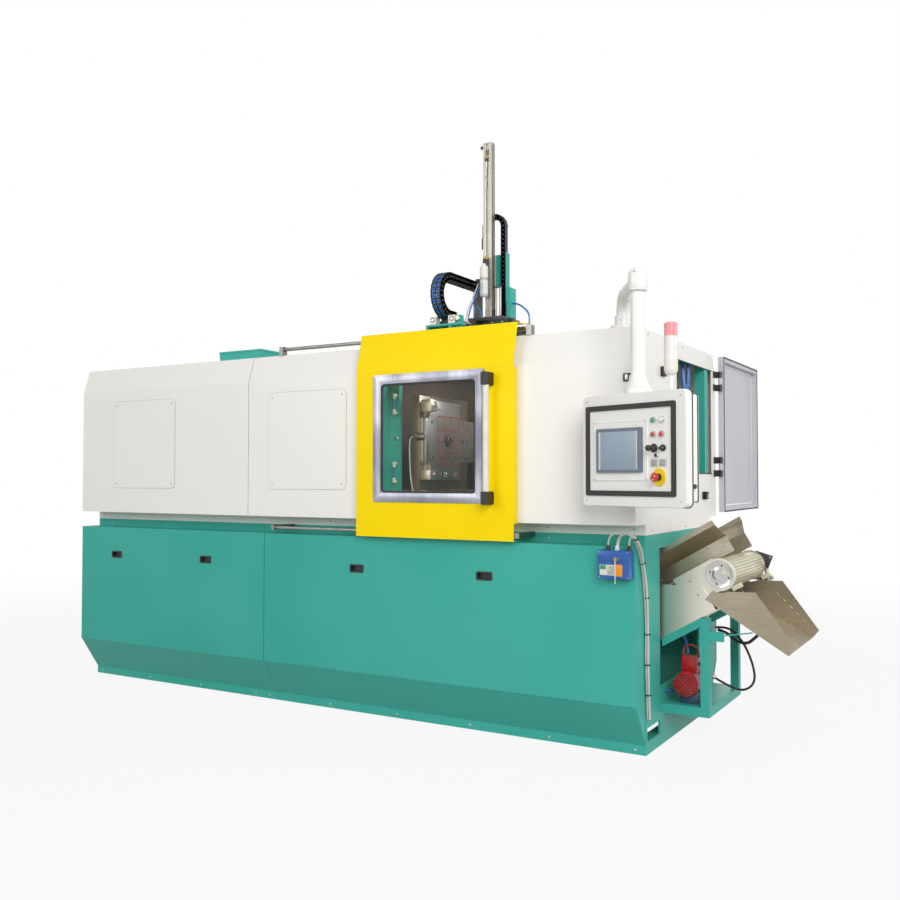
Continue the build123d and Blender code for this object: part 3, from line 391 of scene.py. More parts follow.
# Translucent push-button caps and the stop button's parts.
GREEN_CAP = Finish("green button cap", "#2E9A6B", Surface.MOULDED, 0.25, "#27875D", patch=10, coat=0.4)
RED_CAP = Finish("red button cap", "#D8322B", Surface.MOULDED, 0.25, "#C32620", patch=10, coat=0.4)
STOP_RED = Finish("red mushroom head", "#D21F1B", Surface.MOULDED, 0.24, "#BC1714", patch=14, coat=0.4)
WHITE_CAP = Finish("white button cap", "#EFEFEC", Surface.MOULDED, 0.25, "#E2E2DE", patch=10, coat=0.4)
STOP_YELLOW = Finish("yellow stop disc", "#F4CF10", Surface.MOULDED, 0.4, "#EAC30A", patch=30)
# Signal beacon: frosted lenses, the top one rose.
ROSE_LENS = Finish("rose beacon lens", "#F09A9F", Surface.LENS, 0.3, "#E98A90", patch=30, coat=0.3)
CLEAR_LENS = Finish("frosted beacon lens", "#EDE9E6", Surface.LENS, 0.3, "#E2DCD8", patch=30, coat=0.3)
# Window pane of clear polycarbonate.
PANE = Finish(
    "clear polycarbonate pane", "#A9B1B0", Surface.CLEAR, 0.05, "#A0A8A7", patch=300, depth=0.004, alpha=0.035
)
# Belt: translucent cream polyurethane, with soft cross ribs.
CREAM_BELT = Finish(
    "cream polyurethane belting", "#D4D0B2", Surface.MOULDED, 0.34, "#BDB796", patch=90, grain=8, depth=0.08, coat=0.2
)
# The belt's ribs: the same belting, painted darker than its face as shade for their greater thickness.
CREAM_RIB_PAINTED_SHADE = Finish("belt rib with painted shade", "#A9A384", Surface.MOULDED, 0.35, "#979072", patch=60, grain=6)
# Blue enamel of the small control box.
BLUE_ENAMEL = Finish("blue box enamel", "#1B58A8", Surface.COATED, 0.32, "#174E98", patch=60, grain=5, coat=0.2)
# Brushed-on enamel of the pump's motor, and the casting of its pump end.
PUMP_RED = Finish("red pump enamel", "#BE1A20", Surface.COATED, 0.33, "#9E1218", patch=50, grain=5, coat=0.2)
PUMP_BLUE = Finish("blue grey pump casting", "#39536F", Surface.COATED, 0.5, "#2D4258", patch=40, grain=5, depth=0.1)
# Air and water tubes, and the sheath of the electric cables.
BLUE_TUBE = Finish("blue polyurethane tube", "#2B74C0", Surface.MOULDED, 0.3, "#2466AE", patch=40, coat=0.2)
CLEAR_TUBE = Finish("milky clear tube", "#D9DCDC", Surface.MOULDED, 0.3, "#C6CBCC", patch=40, coat=0.2)
GREY_SHEATH = Finish("grey cable sheath", "#C9C8C1", Surface.MOULDED, 0.45, "#B8B6AE", patch=60, grain=4)
# Traces of wax along the mould's parting lines, and painted shade for bores, sockets and gaps too deep to see into.
LINE_RED = Finish("reddish parting line", "#8E3A30", Surface.COATED, 0.5, "#7A3028", patch=30)
RECESS_SHADE = Finish("painted shade in recesses", "#141312", Surface.COATED, 0.7, "#1F1D1B", patch=10)
# Plain coloured fields on the control box.
PATCH_GREEN = Finish("plain green patch", "#2F9A55", Surface.COATED, 0.4, "#2A8C4D", patch=20)
PATCH_ORANGE = Finish("plain orange patch", "#EE9A24", Surface.COATED, 0.4, "#E28E1C", patch=20)
PATCH_WHITE = Finish("plain white patch", "#E9E7E2", Surface.COATED, 0.4, "#DDDAD3", patch=20)
# Sensor housings and small turned fittings.
SENSOR_YELLOW = Finish("yellow sensor body", "#C9A92C", Surface.MOULDED, 0.4, "#B89822", patch=10)
BRASS = Finish("brass fitting", "#B59A5A", Surface.METAL, 0.3, "#957C42", patch=10, grain=2)


class Maker:
    """Builds one piece from closed forms, each made by bmesh operators, in millimetres."""

    def __init__(self, name: str, body: str = "machine", slot: str = "", place: Matrix = STILL) -> None:
        """Starts an empty piece.

        Args:
            name: The piece's name.
            body: The body that the piece moves with, or nothing to leave it unattached.
            slot: The record's material slot that its finish belongs to; not used.
            place: The frame that its forms are drawn in.
        """
        self.name = name
        self.body = body
        self.slot = slot
        self.place = place
        self.mesh = bmesh.new()
        self.finishes: list[Finish] = []

    @contextmanager
    def form(self, finish: Finish, turn: Matrix = STILL) -> Iterator[bmesh.types.BMesh]:
        """Opens a form, then adds it to the piece with its finish, its normals and its sharp edges.

        Args:
            finish: What the form is finished in.
            turn: Where the form goes in the piece's own frame.

        Yields:
            An empty bmesh for one or more closed forms.
        """
        form = bmesh.new()
        yield form
        bmesh.ops.transform(form, matrix=self.place @ turn, verts=form.verts)
        bmesh.ops.recalc_face_normals(form, faces=form.faces)
        if finish not in self.finishes:
            self.finishes.append(finish)
        for face in form.faces:
            face.material_index = self.finishes.index(finish)
            face.smooth = True
        for edge in form.edges:
            edge.smooth = edge.calc_face_angle(0.0) < SHARP
        carrier = bpy.data.meshes.new("form")
        form.to_mesh(carrier)
        form.free()
        self.mesh.from_mesh(carrier)
        bpy.data.meshes.remove(carrier)

    def block(self, finish: Finish, x: Span, y: Span, z: Span, edge: float = 0.0) -> None:
        """Adds a box with broken edges.

        Args:
            finish: What it is finished in.
            x: Its low and high X.
            y: Its low and high Y.
            z: Its low and high Z.
            edge: The width of its rounded edges.
        """
        with self.form(finish) as form:
            bmesh.ops.create_cube(form, size=1)
            bmesh.ops.scale(form, vec=[high - low for low, high in (x, y, z)], verts=form.verts)
            bmesh.ops.translate(form, vec=[(low + high) / 2 for low, high in (x, y, z)], verts=form.verts)
            soften(form, form.edges[:], edge)

    def rod(
        self, finish: Finish, start: Sequence[float], end: Sequence[float], radius: float, sides: int = 24,
        edge: float = 0.0,
    ) -> None:
        """Adds a round bar or, with few sides, a hexagon bar.

        Args:
            finish: What it is finished in.
            start: The middle of its first end.
            end: The middle of its other end.
            radius: Its radius.
            sides: The number of its sides.
            edge: The width of the rounding round its ends.
        """
        low, high = Vector(start), Vector(end)
        run = high - low
        turn = Matrix.Translation((low + high) / 2) @ Vector(UP).rotation_difference(run).to_matrix().to_4x4()
        with self.form(finish, turn) as form:
            bmesh.ops.create_cone(
                form, cap_ends=True, segments=sides, radius1=radius, radius2=radius, depth=run.length
            )
            rims = [rim for rim in form.edges if abs(rim.verts[0].co.z - rim.verts[1].co.z) < 1e-6]
            soften(form, rims, edge, segments=3)

    def ball(self, finish: Finish, middle: Sequence[float], radius: float, squeeze: Point = (1, 1, 1)) -> None:
        """Adds a ball, or a flattened one.

        Args:
            finish: What it is finished in.
            middle: Its middle.
            radius: Its radius.
            squeeze: Its share of that radius along each axis.
        """
        with self.form(finish, Matrix.Translation(middle)) as form:
            bmesh.ops.create_uvsphere(form, u_segments=24, v_segments=14, radius=radius)
            bmesh.ops.scale(form, vec=squeeze, verts=form.verts)

    def turned(
        self, finish: Finish, profile: Sequence[Pair], middle: Sequence[float], axis: Sequence[float], steps: int = 32
    ) -> None:
        """Adds a turned part by spinning its half section about an axis.

        Args:
            finish: What it is finished in.
            profile: Points of the closed half section, as (radius, height along the axis).
            middle: The point at height nought on the axis.
            axis: The way that height goes.
            steps: The number of steps in the full turn.
        """
        lean = Vector(UP).rotation_difference(Vector(axis)).to_matrix().to_4x4()
        with self.form(finish, Matrix.Translation(middle) @ lean) as form:
            corners = [form.verts.new((radius, 0, height)) for radius, height in profile]
            rims = [form.edges.new(pair) for pair in zip(corners, corners[1:] + corners[:1])]
            bmesh.ops.spin(
                form, geom=corners + rims, cent=(0, 0, 0), axis=(0, 0, 1), angle=math.tau, steps=steps, use_merge=True
            )
            bmesh.ops.remove_doubles(form, verts=form.verts, dist=TOUCH)
            bmesh.ops.dissolve_degenerate(form, dist=TOUCH, edges=form.edges)

    def ring(
        self, finish: Finish, middle: Sequence[float], axis: Sequence[float], outer: float, inner: float, height: float,
        steps: int = 32,
    ) -> None:
        """Adds a flat ring that stands up from its middle by its height."""
        section = [(inner, 0), (outer, 0), (outer, height), (inner, height)]
        self.turned(finish, section, middle, axis, steps)

    def stack(
        self, middle: Sequence[float], axis: Sequence[float], *parts: tuple[Finish, Sequence[Pair], int]
    ) -> None:
        """Adds turned parts on one axis, each given as finish, half section and steps."""
        for finish, profile, steps in parts:
            self.turned(finish, profile, middle, axis, steps)

    def slab(
        self, finish: Finish, outline: Sequence[Pair], depth: Span, turn: Matrix = UPRIGHT, edge: float = 0.0
    ) -> None:
        """Adds a flat shape with thickness.

        Args:
            finish: What it is finished in.
            outline: The corners of the shape.
            depth: Where its two faces are along the third axis.
            turn: How the shape stands.
            edge: The width of its rounded edges.
        """
        with self.form(finish, turn) as form:
            form.faces.new([form.verts.new((across, up, depth[0])) for across, up in outline])
            thicken(form, depth[1] - depth[0])
            soften(form, form.edges[:], edge)

    def plate(
        self, finish: Finish, x: Span, z: Span, y: Span, corner: float = 0.0, rim: float = 0.0, turn: Matrix = UPRIGHT,
        edge: float = 0.0,
    ) -> None:
        """Adds a plate with rounded corners, or only the rim of one.

        Args:
            finish: What it is finished in.
            x: Its low and high side.
            z: Its low and high edge.
            y: Where its two faces are.
            corner: The radius of its corners.
            rim: The width of the rim that is kept, or nought for the whole plate.
            turn: How the plate stands.
            edge: The width of its rounded edges.
        """
        with self.form(finish, turn) as form:
            bmesh.ops.create_grid(form, x_segments=1, y_segments=1, size=0.5)
            bmesh.ops.scale(form, vec=(x[1] - x[0], z[1] - z[0], 1), verts=form.verts)
            if corner:
                bmesh.ops.bevel(
                    form, geom=form.verts[:], offset=corner, segments=6, profile=0.5, affect="VERTICES", material=-1
                )
            if rim:
                whole = form.faces[:]
                bmesh.ops.inset_region(form, faces=whole, thickness=rim, use_boundary=True, use_even_offset=True)
                bmesh.ops.delete(form, geom=whole, context="FACES_ONLY")
            thicken(form, y[1] - y[0])
            bmesh.ops.translate(form, vec=((x[0] + x[1]) / 2, (z[0] + z[1]) / 2, y[0]), verts=form.verts)
            soften(form, form.edges[:], edge)

    def tube(self, finish: Finish, points: Sequence[Point], radius: float) -> None:
        """Adds a round tube along a smooth line whose control points are given.

        Args:
            finish: What it is finished in.
            points: The line's control points.
            radius: The tube's radius.
        """
        curve = lay_line("run", points, radius, rounds=3, steps=8)
        holder = bpy.data.objects.new("run", curve)
        made = bpy.data.meshes.new_from_object(holder)
        with self.form(finish) as form:
            form.from_mesh(made)
            bmesh.ops.remove_doubles(form, verts=form.verts, dist=TOUCH)
        bpy.data.objects.remove(holder)
        bpy.data.curves.remove(curve)
        bpy.data.meshes.remove(made)

    def screw(
        self, at: Sequence[float], way: Sequence[float], radius: float = 6.0, height: float = 3.0, finish: Finish = ZINC
    ) -> None:
        """Adds a pan head screw, its socket a dark hexagon of painted shade.

        Args:
            at: Where its head sits.
            way: The way that the head stands out.
            radius: The head's radius.
            height: The head's height.
            finish: What it is finished in.
        """
        head = [(0, 0), (radius, 0), (radius, height * 0.5), (radius * 0.7, height), (0, height)]
        self.turned(finish, head, at, way, steps=12)
        # The socket is a dark hexagon on the head: painted shade of the recess.
        start, end = (Vector(at) + Vector(way).normalized() * height * share for share in (0.9, 1.03))
        self.rod(RECESS_SHADE, start, end, radius * 0.42, sides=6)

    def screws(
        self, spots: Iterable[Sequence[float]], way: Sequence[float], radius: float = 6.0, height: float = 3.0,
        finish: Finish = ZINC,
    ) -> None:
        """Adds the same screw at every spot, as screw() does at one."""
        for spot in spots:
            self.screw(spot, way, radius, height, finish)

    def done(self, *replaced: str) -> bpy.types.Object:
        """Closes the piece and hands it to the frame.

        Args:
            replaced: Solids that the piece stands for.

        Returns:
            The finished piece, in metres, at the origin.
        """
        bmesh.ops.scale(self.mesh, vec=(MM, MM, MM), verts=self.mesh.verts)
        mesh = bpy.data.meshes.new(self.name)
        self.mesh.to_mesh(mesh)
        self.mesh.free()
        for finish in self.finishes:
            mesh.materials.append(finish.material())
        piece = new_object(self.name, mesh)
        if self.body:
            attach(piece, self.body)
        if replaced:
            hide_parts(*replaced)
        LOG.info("%s: %d faces", self.name, len(mesh.polygons))
        return piece


def dress(finish: Finish, *names: str) -> None:
    """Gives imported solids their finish.

    Args:
        finish: The finish that they get.
        names: The solids' names.
    """
    for name in names:
        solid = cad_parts[name]
        for slot in range(len(solid.data.materials)):
            solid.data.materials[slot] = finish.material()
    LOG.info("%s on %s", finish.name, ", ".join(names))


@dataclass
class Studio:
    """Pale floor, soft lamps and the photograph's viewpoint, in metres."""

    eye: Point = (3.6175, -5.1834, 1.3743)
    heading: float = 0.5352
    climb: float = 0.0287
    lens: float = 38.437
    floor_half: float = 60.0
    floor_drop: float = 0.0005
    floor_glow: float = 0.9
    shadow_reach: Span = (3.5, 9.0)
    fill: float = 0.34
    # Each lamp's name, place, aim, width and power.
    lamps: tuple[tuple[str, Point, Point, float, float], ...] = (
        ("key lamp", (6.5, -7.0, 4.6), (0.6, 0.0, 1.2), 5.0, 500.0),
        ("front lamp", (-3.5, -8.5, 4.2), (-0.6, 0.0, 1.2), 5.0, 200.0),
        ("end lamp", (8.5, 1.5, 4.0), (1.6, 0.0, 1.2), 4.0, 150.0),
        ("back lamp", (-1.0, 8.0, 5.0), (0.0, 0.0, 1.2), 5.0, 220.0),
        ("cell lamp", (1.05, -0.25, 2.02), (0.85, -0.2, 1.2), 0.35, 5.0),
    )

    def place_camera(self) -> None:
        """Puts the camera at the photograph's viewpoint."""
        data = bpy.data.cameras.new("viewpoint")
        data.lens, data.sensor_width, data.clip_end = self.lens, 36.0, 200.0
        camera = new_object("viewpoint", data)
        camera.location = self.eye
        camera.rotation_euler = (math.pi / 2 + self.climb, 0.0, self.heading)
        bpy.context.scene.camera = camera

    def seen_mask(self, tree: bpy.types.NodeTree) -> bpy.types.Node:
        """Adds nodes that are 1 where the eye, a reflection or a clear sheet looks at the background.

        Args:
            tree: The node tree that gets them.

        Returns:
            The last of the nodes.
        """
        path = add_node(tree, "LightPath")
        most = {"operation": "MAXIMUM"}
        first = add_node(tree, "Math", most, links={0: (path, "Is Camera Ray"), 1: (path, "Is Glossy Ray")})
        return add_node(tree, "Math", most, links={0: (first, 0), 1: (path, "Is Transmission Ray")})

    def lay_floor(self) -> None:
        """Lays a wide pale floor that keeps the machine's soft shadow."""
        mesh = bpy.data.meshes.new("floor")
        form = bmesh.new()
        bmesh.ops.create_grid(form, x_segments=1, y_segments=1, size=self.floor_half)
        bmesh.ops.translate(form, vec=(0, 0, -self.floor_drop), verts=form.verts)
        form.to_mesh(mesh)
        form.free()
        floor = new_object("floor", mesh)
        made = bpy.data.materials.new("pale studio floor")
        tree = new_tree(made)
        mask = self.seen_mask(tree)
        place = add_node(tree, "TexCoord")
        away = add_node(tree, "VectorMath", {"operation": "LENGTH"}, links={0: (place, "Object")})
        near, far = self.shadow_reach
        reach = {"From Min": near, "From Max": far, "To Min": self.floor_glow, "To Max": 1.0}
        share = add_node(tree, "MapRange", {"interpolation_type": "SMOOTHSTEP"}, reach, {"Value": (away, "Value")})
        part = add_node(tree, "Math", {"operation": "MULTIPLY"}, links={0: (mask, 0), 1: (share, 0)})
        matt = add_node(tree, "BsdfDiffuse", values={"Color": linear("#B9B9B7")})
        glow = add_node(tree, "Emission", values={"Color": (1, 1, 1, 1), "Strength": 1.0})
        both = add_node(tree, "MixShader", links={0: (part, 0), 1: (matt, 0), 2: (glow, 0)})
        add_node(tree, "OutputMaterial", links={"Surface": (both, 0)})
        mesh.materials.append(made)

    def light(self) -> None:
        """Hangs soft lamps and sets a plain pale surround."""
        world = bpy.data.worlds.new("surround")
        tree = new_tree(world)
        mask = self.seen_mask(tree)
        fill, seen = (
            add_node(tree, "Background", values={"Color": (1, 1, 1, 1), "Strength": strength})
            for strength in (self.fill, 1.0)
        )
        both = add_node(tree, "MixShader", links={0: (mask, 0), 1: (fill, 0), 2: (seen, 0)})
        add_node(tree, "OutputWorld", links={"Surface": (both, 0)})
        bpy.context.scene.world = world
        for name, spot, aim, size, power in self.lamps:
            data = bpy.data.lights.new(name, "AREA")
            data.shape, data.size, data.energy = "SQUARE", size, power
            lamp = new_object(name, data)
            lamp.location = spot
            lamp.rotation_euler = (Vector(aim) - Vector(spot)).to_track_quat("-Z", "Y").to_euler()
            lamp.visible_camera = False

    def build(self) -> None:
        """Sets up camera, floor and lamps."""
        bpy.context.scene.view_settings.view_transform = "Standard"
        self.place_camera()
        self.lay_floor()
        self.light()


@dataclass
class LoopHose:
    """The black hose that loops from the tank's drain round to the pump, in metres."""

    route: tuple[Point, ...] = (
        (2.182, -0.015, 0.568), (2.262, -0.015, 0.590), (2.345, -0.015, 0.520), (2.400, -0.015, 0.400),
        (2.412, -0.015, 0.300), (2.350, -0.015, 0.248), (2.262, -0.015, 0.272), (2.182, -0.015, 0.314),
    )
    radius: float = 0.006
    length: float = 0.66

    def build(self) -> None:
        """Lays the hose on its line and crimps a ferrule on each end."""
        curve = lay_line("drain_hose", self.route, self.radius, rounds=5, steps=16)
        curve.materials.append(BLACK_RUBBER.material())
        hose = new_object("drain_hose", curve)
        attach(hose, "machine")
        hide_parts("loop_hose")
        ferrules = Maker("hose_ferrules", slot="machined_steel")
        for end, inward in ((self.route[0], self.route[1]), (self.route[-1], self.route[-2])):
            start = Vector(end) / MM
            way = (Vector(inward) / MM - start).normalized()
            section = [(6.2, -2), (9.4, -2), (9.4, 4), (8.6, 5), (8.6, 20), (7.6, 22), (6.2, 22)]
            ferrules.turned(ZINC, section, start, way, steps=24)
        crimped = ferrules.done()
        LOG.info("drain hose on %d points", len(self.route))


@dataclass
class Bed:
    """Welded bed, folded guards and the set-back band, with their screws."""

    # Rows of screws on each long side: how far out, how high, the heads' radius and where along the bed.
    rows: tuple[tuple[float, float, float, tuple[float, ...]], ...] = (
        (574.0, 22, 6.5, (-1958, -1483, -1008, -534, -421, 55, 533, 1010, 1484, 1952)),
        (571.0, 1116, 6.0, (-1955, -1480, -900, -430, 47, 1480, 1955)),
        (571.0, 1058, 6.0, (-1880, 1487)),
    )
    guard_section: tuple[Pair, ...] = ((573, 1034), (711.5, 1034), (711.5, 267), (574.5, 53))
    sheet_x: Pair = (-2008, 2005)
    sheet: float = 3.0
    pocket: tuple[Span, Span, Span] = ((1926, 1929.5), (346, 560), (52, 142))

    def build(self) -> None:
        """Dresses the bed and sets its screws."""
        dress(TEAL_ENAMEL, "bed_frame", "lower_guards")
        dress(WHITE_COAT, "lower_band")
        dress(BLACK_NYLON, "flush_pulls")
        screws = Maker("bed_screws", slot="machined_steel")
        for side in (-1, 1):
            for out, z, radius, along in self.rows:
                screws.screws(((x, side * out, z) for x in along), (0, side, 0), radius)
        screws.done()
        self.close_guards()

    def close_guards(self) -> None:
        """Closes the hollow behind the guards with a sheet at each end, and plates the lift pockets."""
        sheets = Maker("guard_end_sheets", slot="teal_paint")
        x, y, z = self.pocket
        for side in (-1, 1):
            outline = [(side * out, up) for out, up in self.guard_section]
            for low in self.sheet_x:
                sheets.slab(TEAL_ENAMEL, outline, (low, low + self.sheet), turn=ACROSS)
            sheets.block(TEAL_ENAMEL, x, sorted(side * out for out in y), z)
        sheets.done()


@dataclass
class Enclosure:
    """Upper frame, folded covers, end panels, access panels and the small box on the roof."""

    end_x: float = 2013.0
    panel_x: tuple[float, ...] = (-1407.0, -21.0)
    panel_z: float = 1597.0
    panel_reach: float = 262.0
    panel_half: float = 293.5
    panel_corner: float = 36.0
    panel_face: float = -718.0
    # Screws on each end panel, as (Y, Z).
    end_screws: tuple[Pair, ...] = ((-480, 1106), (97, 1106), (560, 1108), (-519, 2098), (57, 2098), (560, 2098))
    roof_box: tuple[Span, Span, Span] = ((-1019, -651), (-419, -221), (2206, 2219))

    def build(self) -> None:
        """Dresses the enclosure and adds its screws, latch and roof box caps."""
        dress(WHITE_COAT, "covers_front", "covers_back", "end_panels", "access_panels")
        dress(TEAL_ENAMEL, "upper_frame", "roof_box")
        seals = Maker("panel_gap_shadows_and_latch", slot="black_plastic")
        # The grey rims are painted shadow in the gaps round the access panels; the black and zinc blocks are the latch.
        for x in self.panel_x:
            across, up = about(x, self.panel_half), about(self.panel_z, self.panel_half)
            seals.plate(GAP_SHADOW_GREY, across, up, (-717.2, -715.1), corner=self.panel_corner, rim=2.2)
        seals.block(BLACK_NYLON, (1956, 1994), (-727, -715), (1844, 1884), edge=3)
        seals.block(ZINC, (1968, 1982), (-729.5, -726), (1850, 1878), edge=1)
        seals.done()
        screws = Maker("cover_screws", slot="machined_steel")
        rows = about(self.panel_z, self.panel_reach)
        for x in self.panel_x:
            spots = product(about(x, self.panel_reach), (self.panel_face,), rows)
            screws.screws(spots, FRONT, radius=5.5)
        for end in (-1, 1):
            screws.screws(((end * self.end_x, y, z) for y, z in self.end_screws), (end, 0, 0), radius=5.5)
        screws.done()
        caps = Maker("roof_box_caps", slot="black_plastic")
        cap = [(0, 0), (34, 0), (34, 10), (30, 14), (0, 14)]
        for x in (-925, -745):
            caps.turned(BLACK_NYLON, cap, (x, -320, 2218), UP)
        caps.block(TEAL_ENAMEL, *self.roof_box, edge=1.5)
        caps.done()


@dataclass
class FrontDoor:
    """Yellow sliding door, its window, handle, rails and runners."""

    opening_x: Span = (550.0, 1155.0)
    opening_z: Span = (1290.0, 1896.0)
    corner: float = 30.0
    frame_x: Span = (498.0, 1207.0)
    frame_z: Span = (1238.0, 1948.0)

    def build(self) -> None:
        """Dresses the door and adds gasket, frame beads, screws and caps."""
        dress(YELLOW_COAT, "door_panel")
        dress(PANE, "window_glass")
        dress(WHITE_NYLON, "door_handle_bar")
        dress(BLACK_NYLON, "door_handle_ends")
        dress(DRAWN_ROD, "door_rails")
        dress(BLACK_OXIDE, "door_runners")
        self.frame_window()
        fittings = Maker("door_fittings", "door", slot="black_metal")
        fittings.screws(((1243, -837, z) for z in (1251, 1286, 1871, 1906)), FRONT, radius=5, finish=BLACK_OXIDE)
        fittings.screws(((x, -752, 2187) for x in (450, 510, 1247, 1307)), UP, radius=5, height=2)
        fittings.done()

    def frame_window(self) -> None:
        """Makes the mitred window frame with its rubber gasket."""
        trim = Maker("window_surround", "door", slot="frame_alloy")
        trim.plate(FRAME_ALLOY, self.frame_x, self.frame_z, (-766.6, -765.2), rim=60)
        trim.plate(FRAME_ALLOY, self.frame_x, self.frame_z, (-771, -766.6), rim=52, edge=0.8)
        raised = [grown(span, -8) for span in (self.frame_x, self.frame_z)]
        trim.plate(FRAME_ALLOY, *raised, (-772.2, -770.8), rim=36, edge=0.4)
        inner = [grown(span, 2) for span in (self.opening_x, self.opening_z)]
        trim.plate(BLACK_RUBBER, *inner, (-769, -762.2), corner=self.corner, rim=13, edge=1.2)
        trim.done("window_frame")


@dataclass
class EndDoor:
    """End door leaf, shown swung open, with its seal, hinges, latch and switch."""

    leaf_y: Span = (743.0, 1615.0)
    leaf_z: Span = (1163.0, 2118.0)
    leaf_x: Span = (2025.0, 2059.0)

    def build(self) -> None:
        """Dresses the leaf and adds its edge seal and the parts of latch and switch."""
        dress(LILAC_COAT, "end_leaf")
        dress(BLACK_OXIDE, "end_door_fittings")
        seal = Maker("leaf_seal", "leaf", slot="black_plastic")
        inside, outside = self.leaf_x
        seal.plate(BLACK_RUBBER, self.leaf_y, self.leaf_z, (outside, outside + 3), rim=9, turn=ACROSS, edge=0.8)
        fold = [grown(span, -34) for span in (self.leaf_y, self.leaf_z)]
        seal.plate(WHITE_COAT, *fold, (inside + 3, inside + 4.2), corner=6, rim=10, turn=ACROSS)
        seal.done()
        fittings = Maker("end_switches", slot="black_plastic")
        for y, z, half in ((-300, 1929, 25), (469, 1269, 22)):
            fittings.plate(BLACK_NYLON, about(y, half), about(z, half), (2018, 2034), 4, turn=ACROSS, edge=2)
            fittings.plate(ZINC, about(y, 9), (z - 14, z + 6), (2034, 2037), 2, turn=ACROSS, edge=0.8)
        for z in (1398, 2021):
            fittings.block(BLACK_RUBBER, (2012, 2016), (-56, 631), about(z, 3), edge=1)
        for shift in (0, 14, 28):
            low = 1872 + shift
            loop = [(1946, 262 + shift, 2046), (1950, 262 + shift, low + 40), (1954, 286, low), (1958, 322, low)]
            loop += [(1962, 346 - shift, low + 40), (1966, 346 - shift, 2046)]
            fittings.tube(BLUE_TUBE, loop, 6)
        fittings.done()


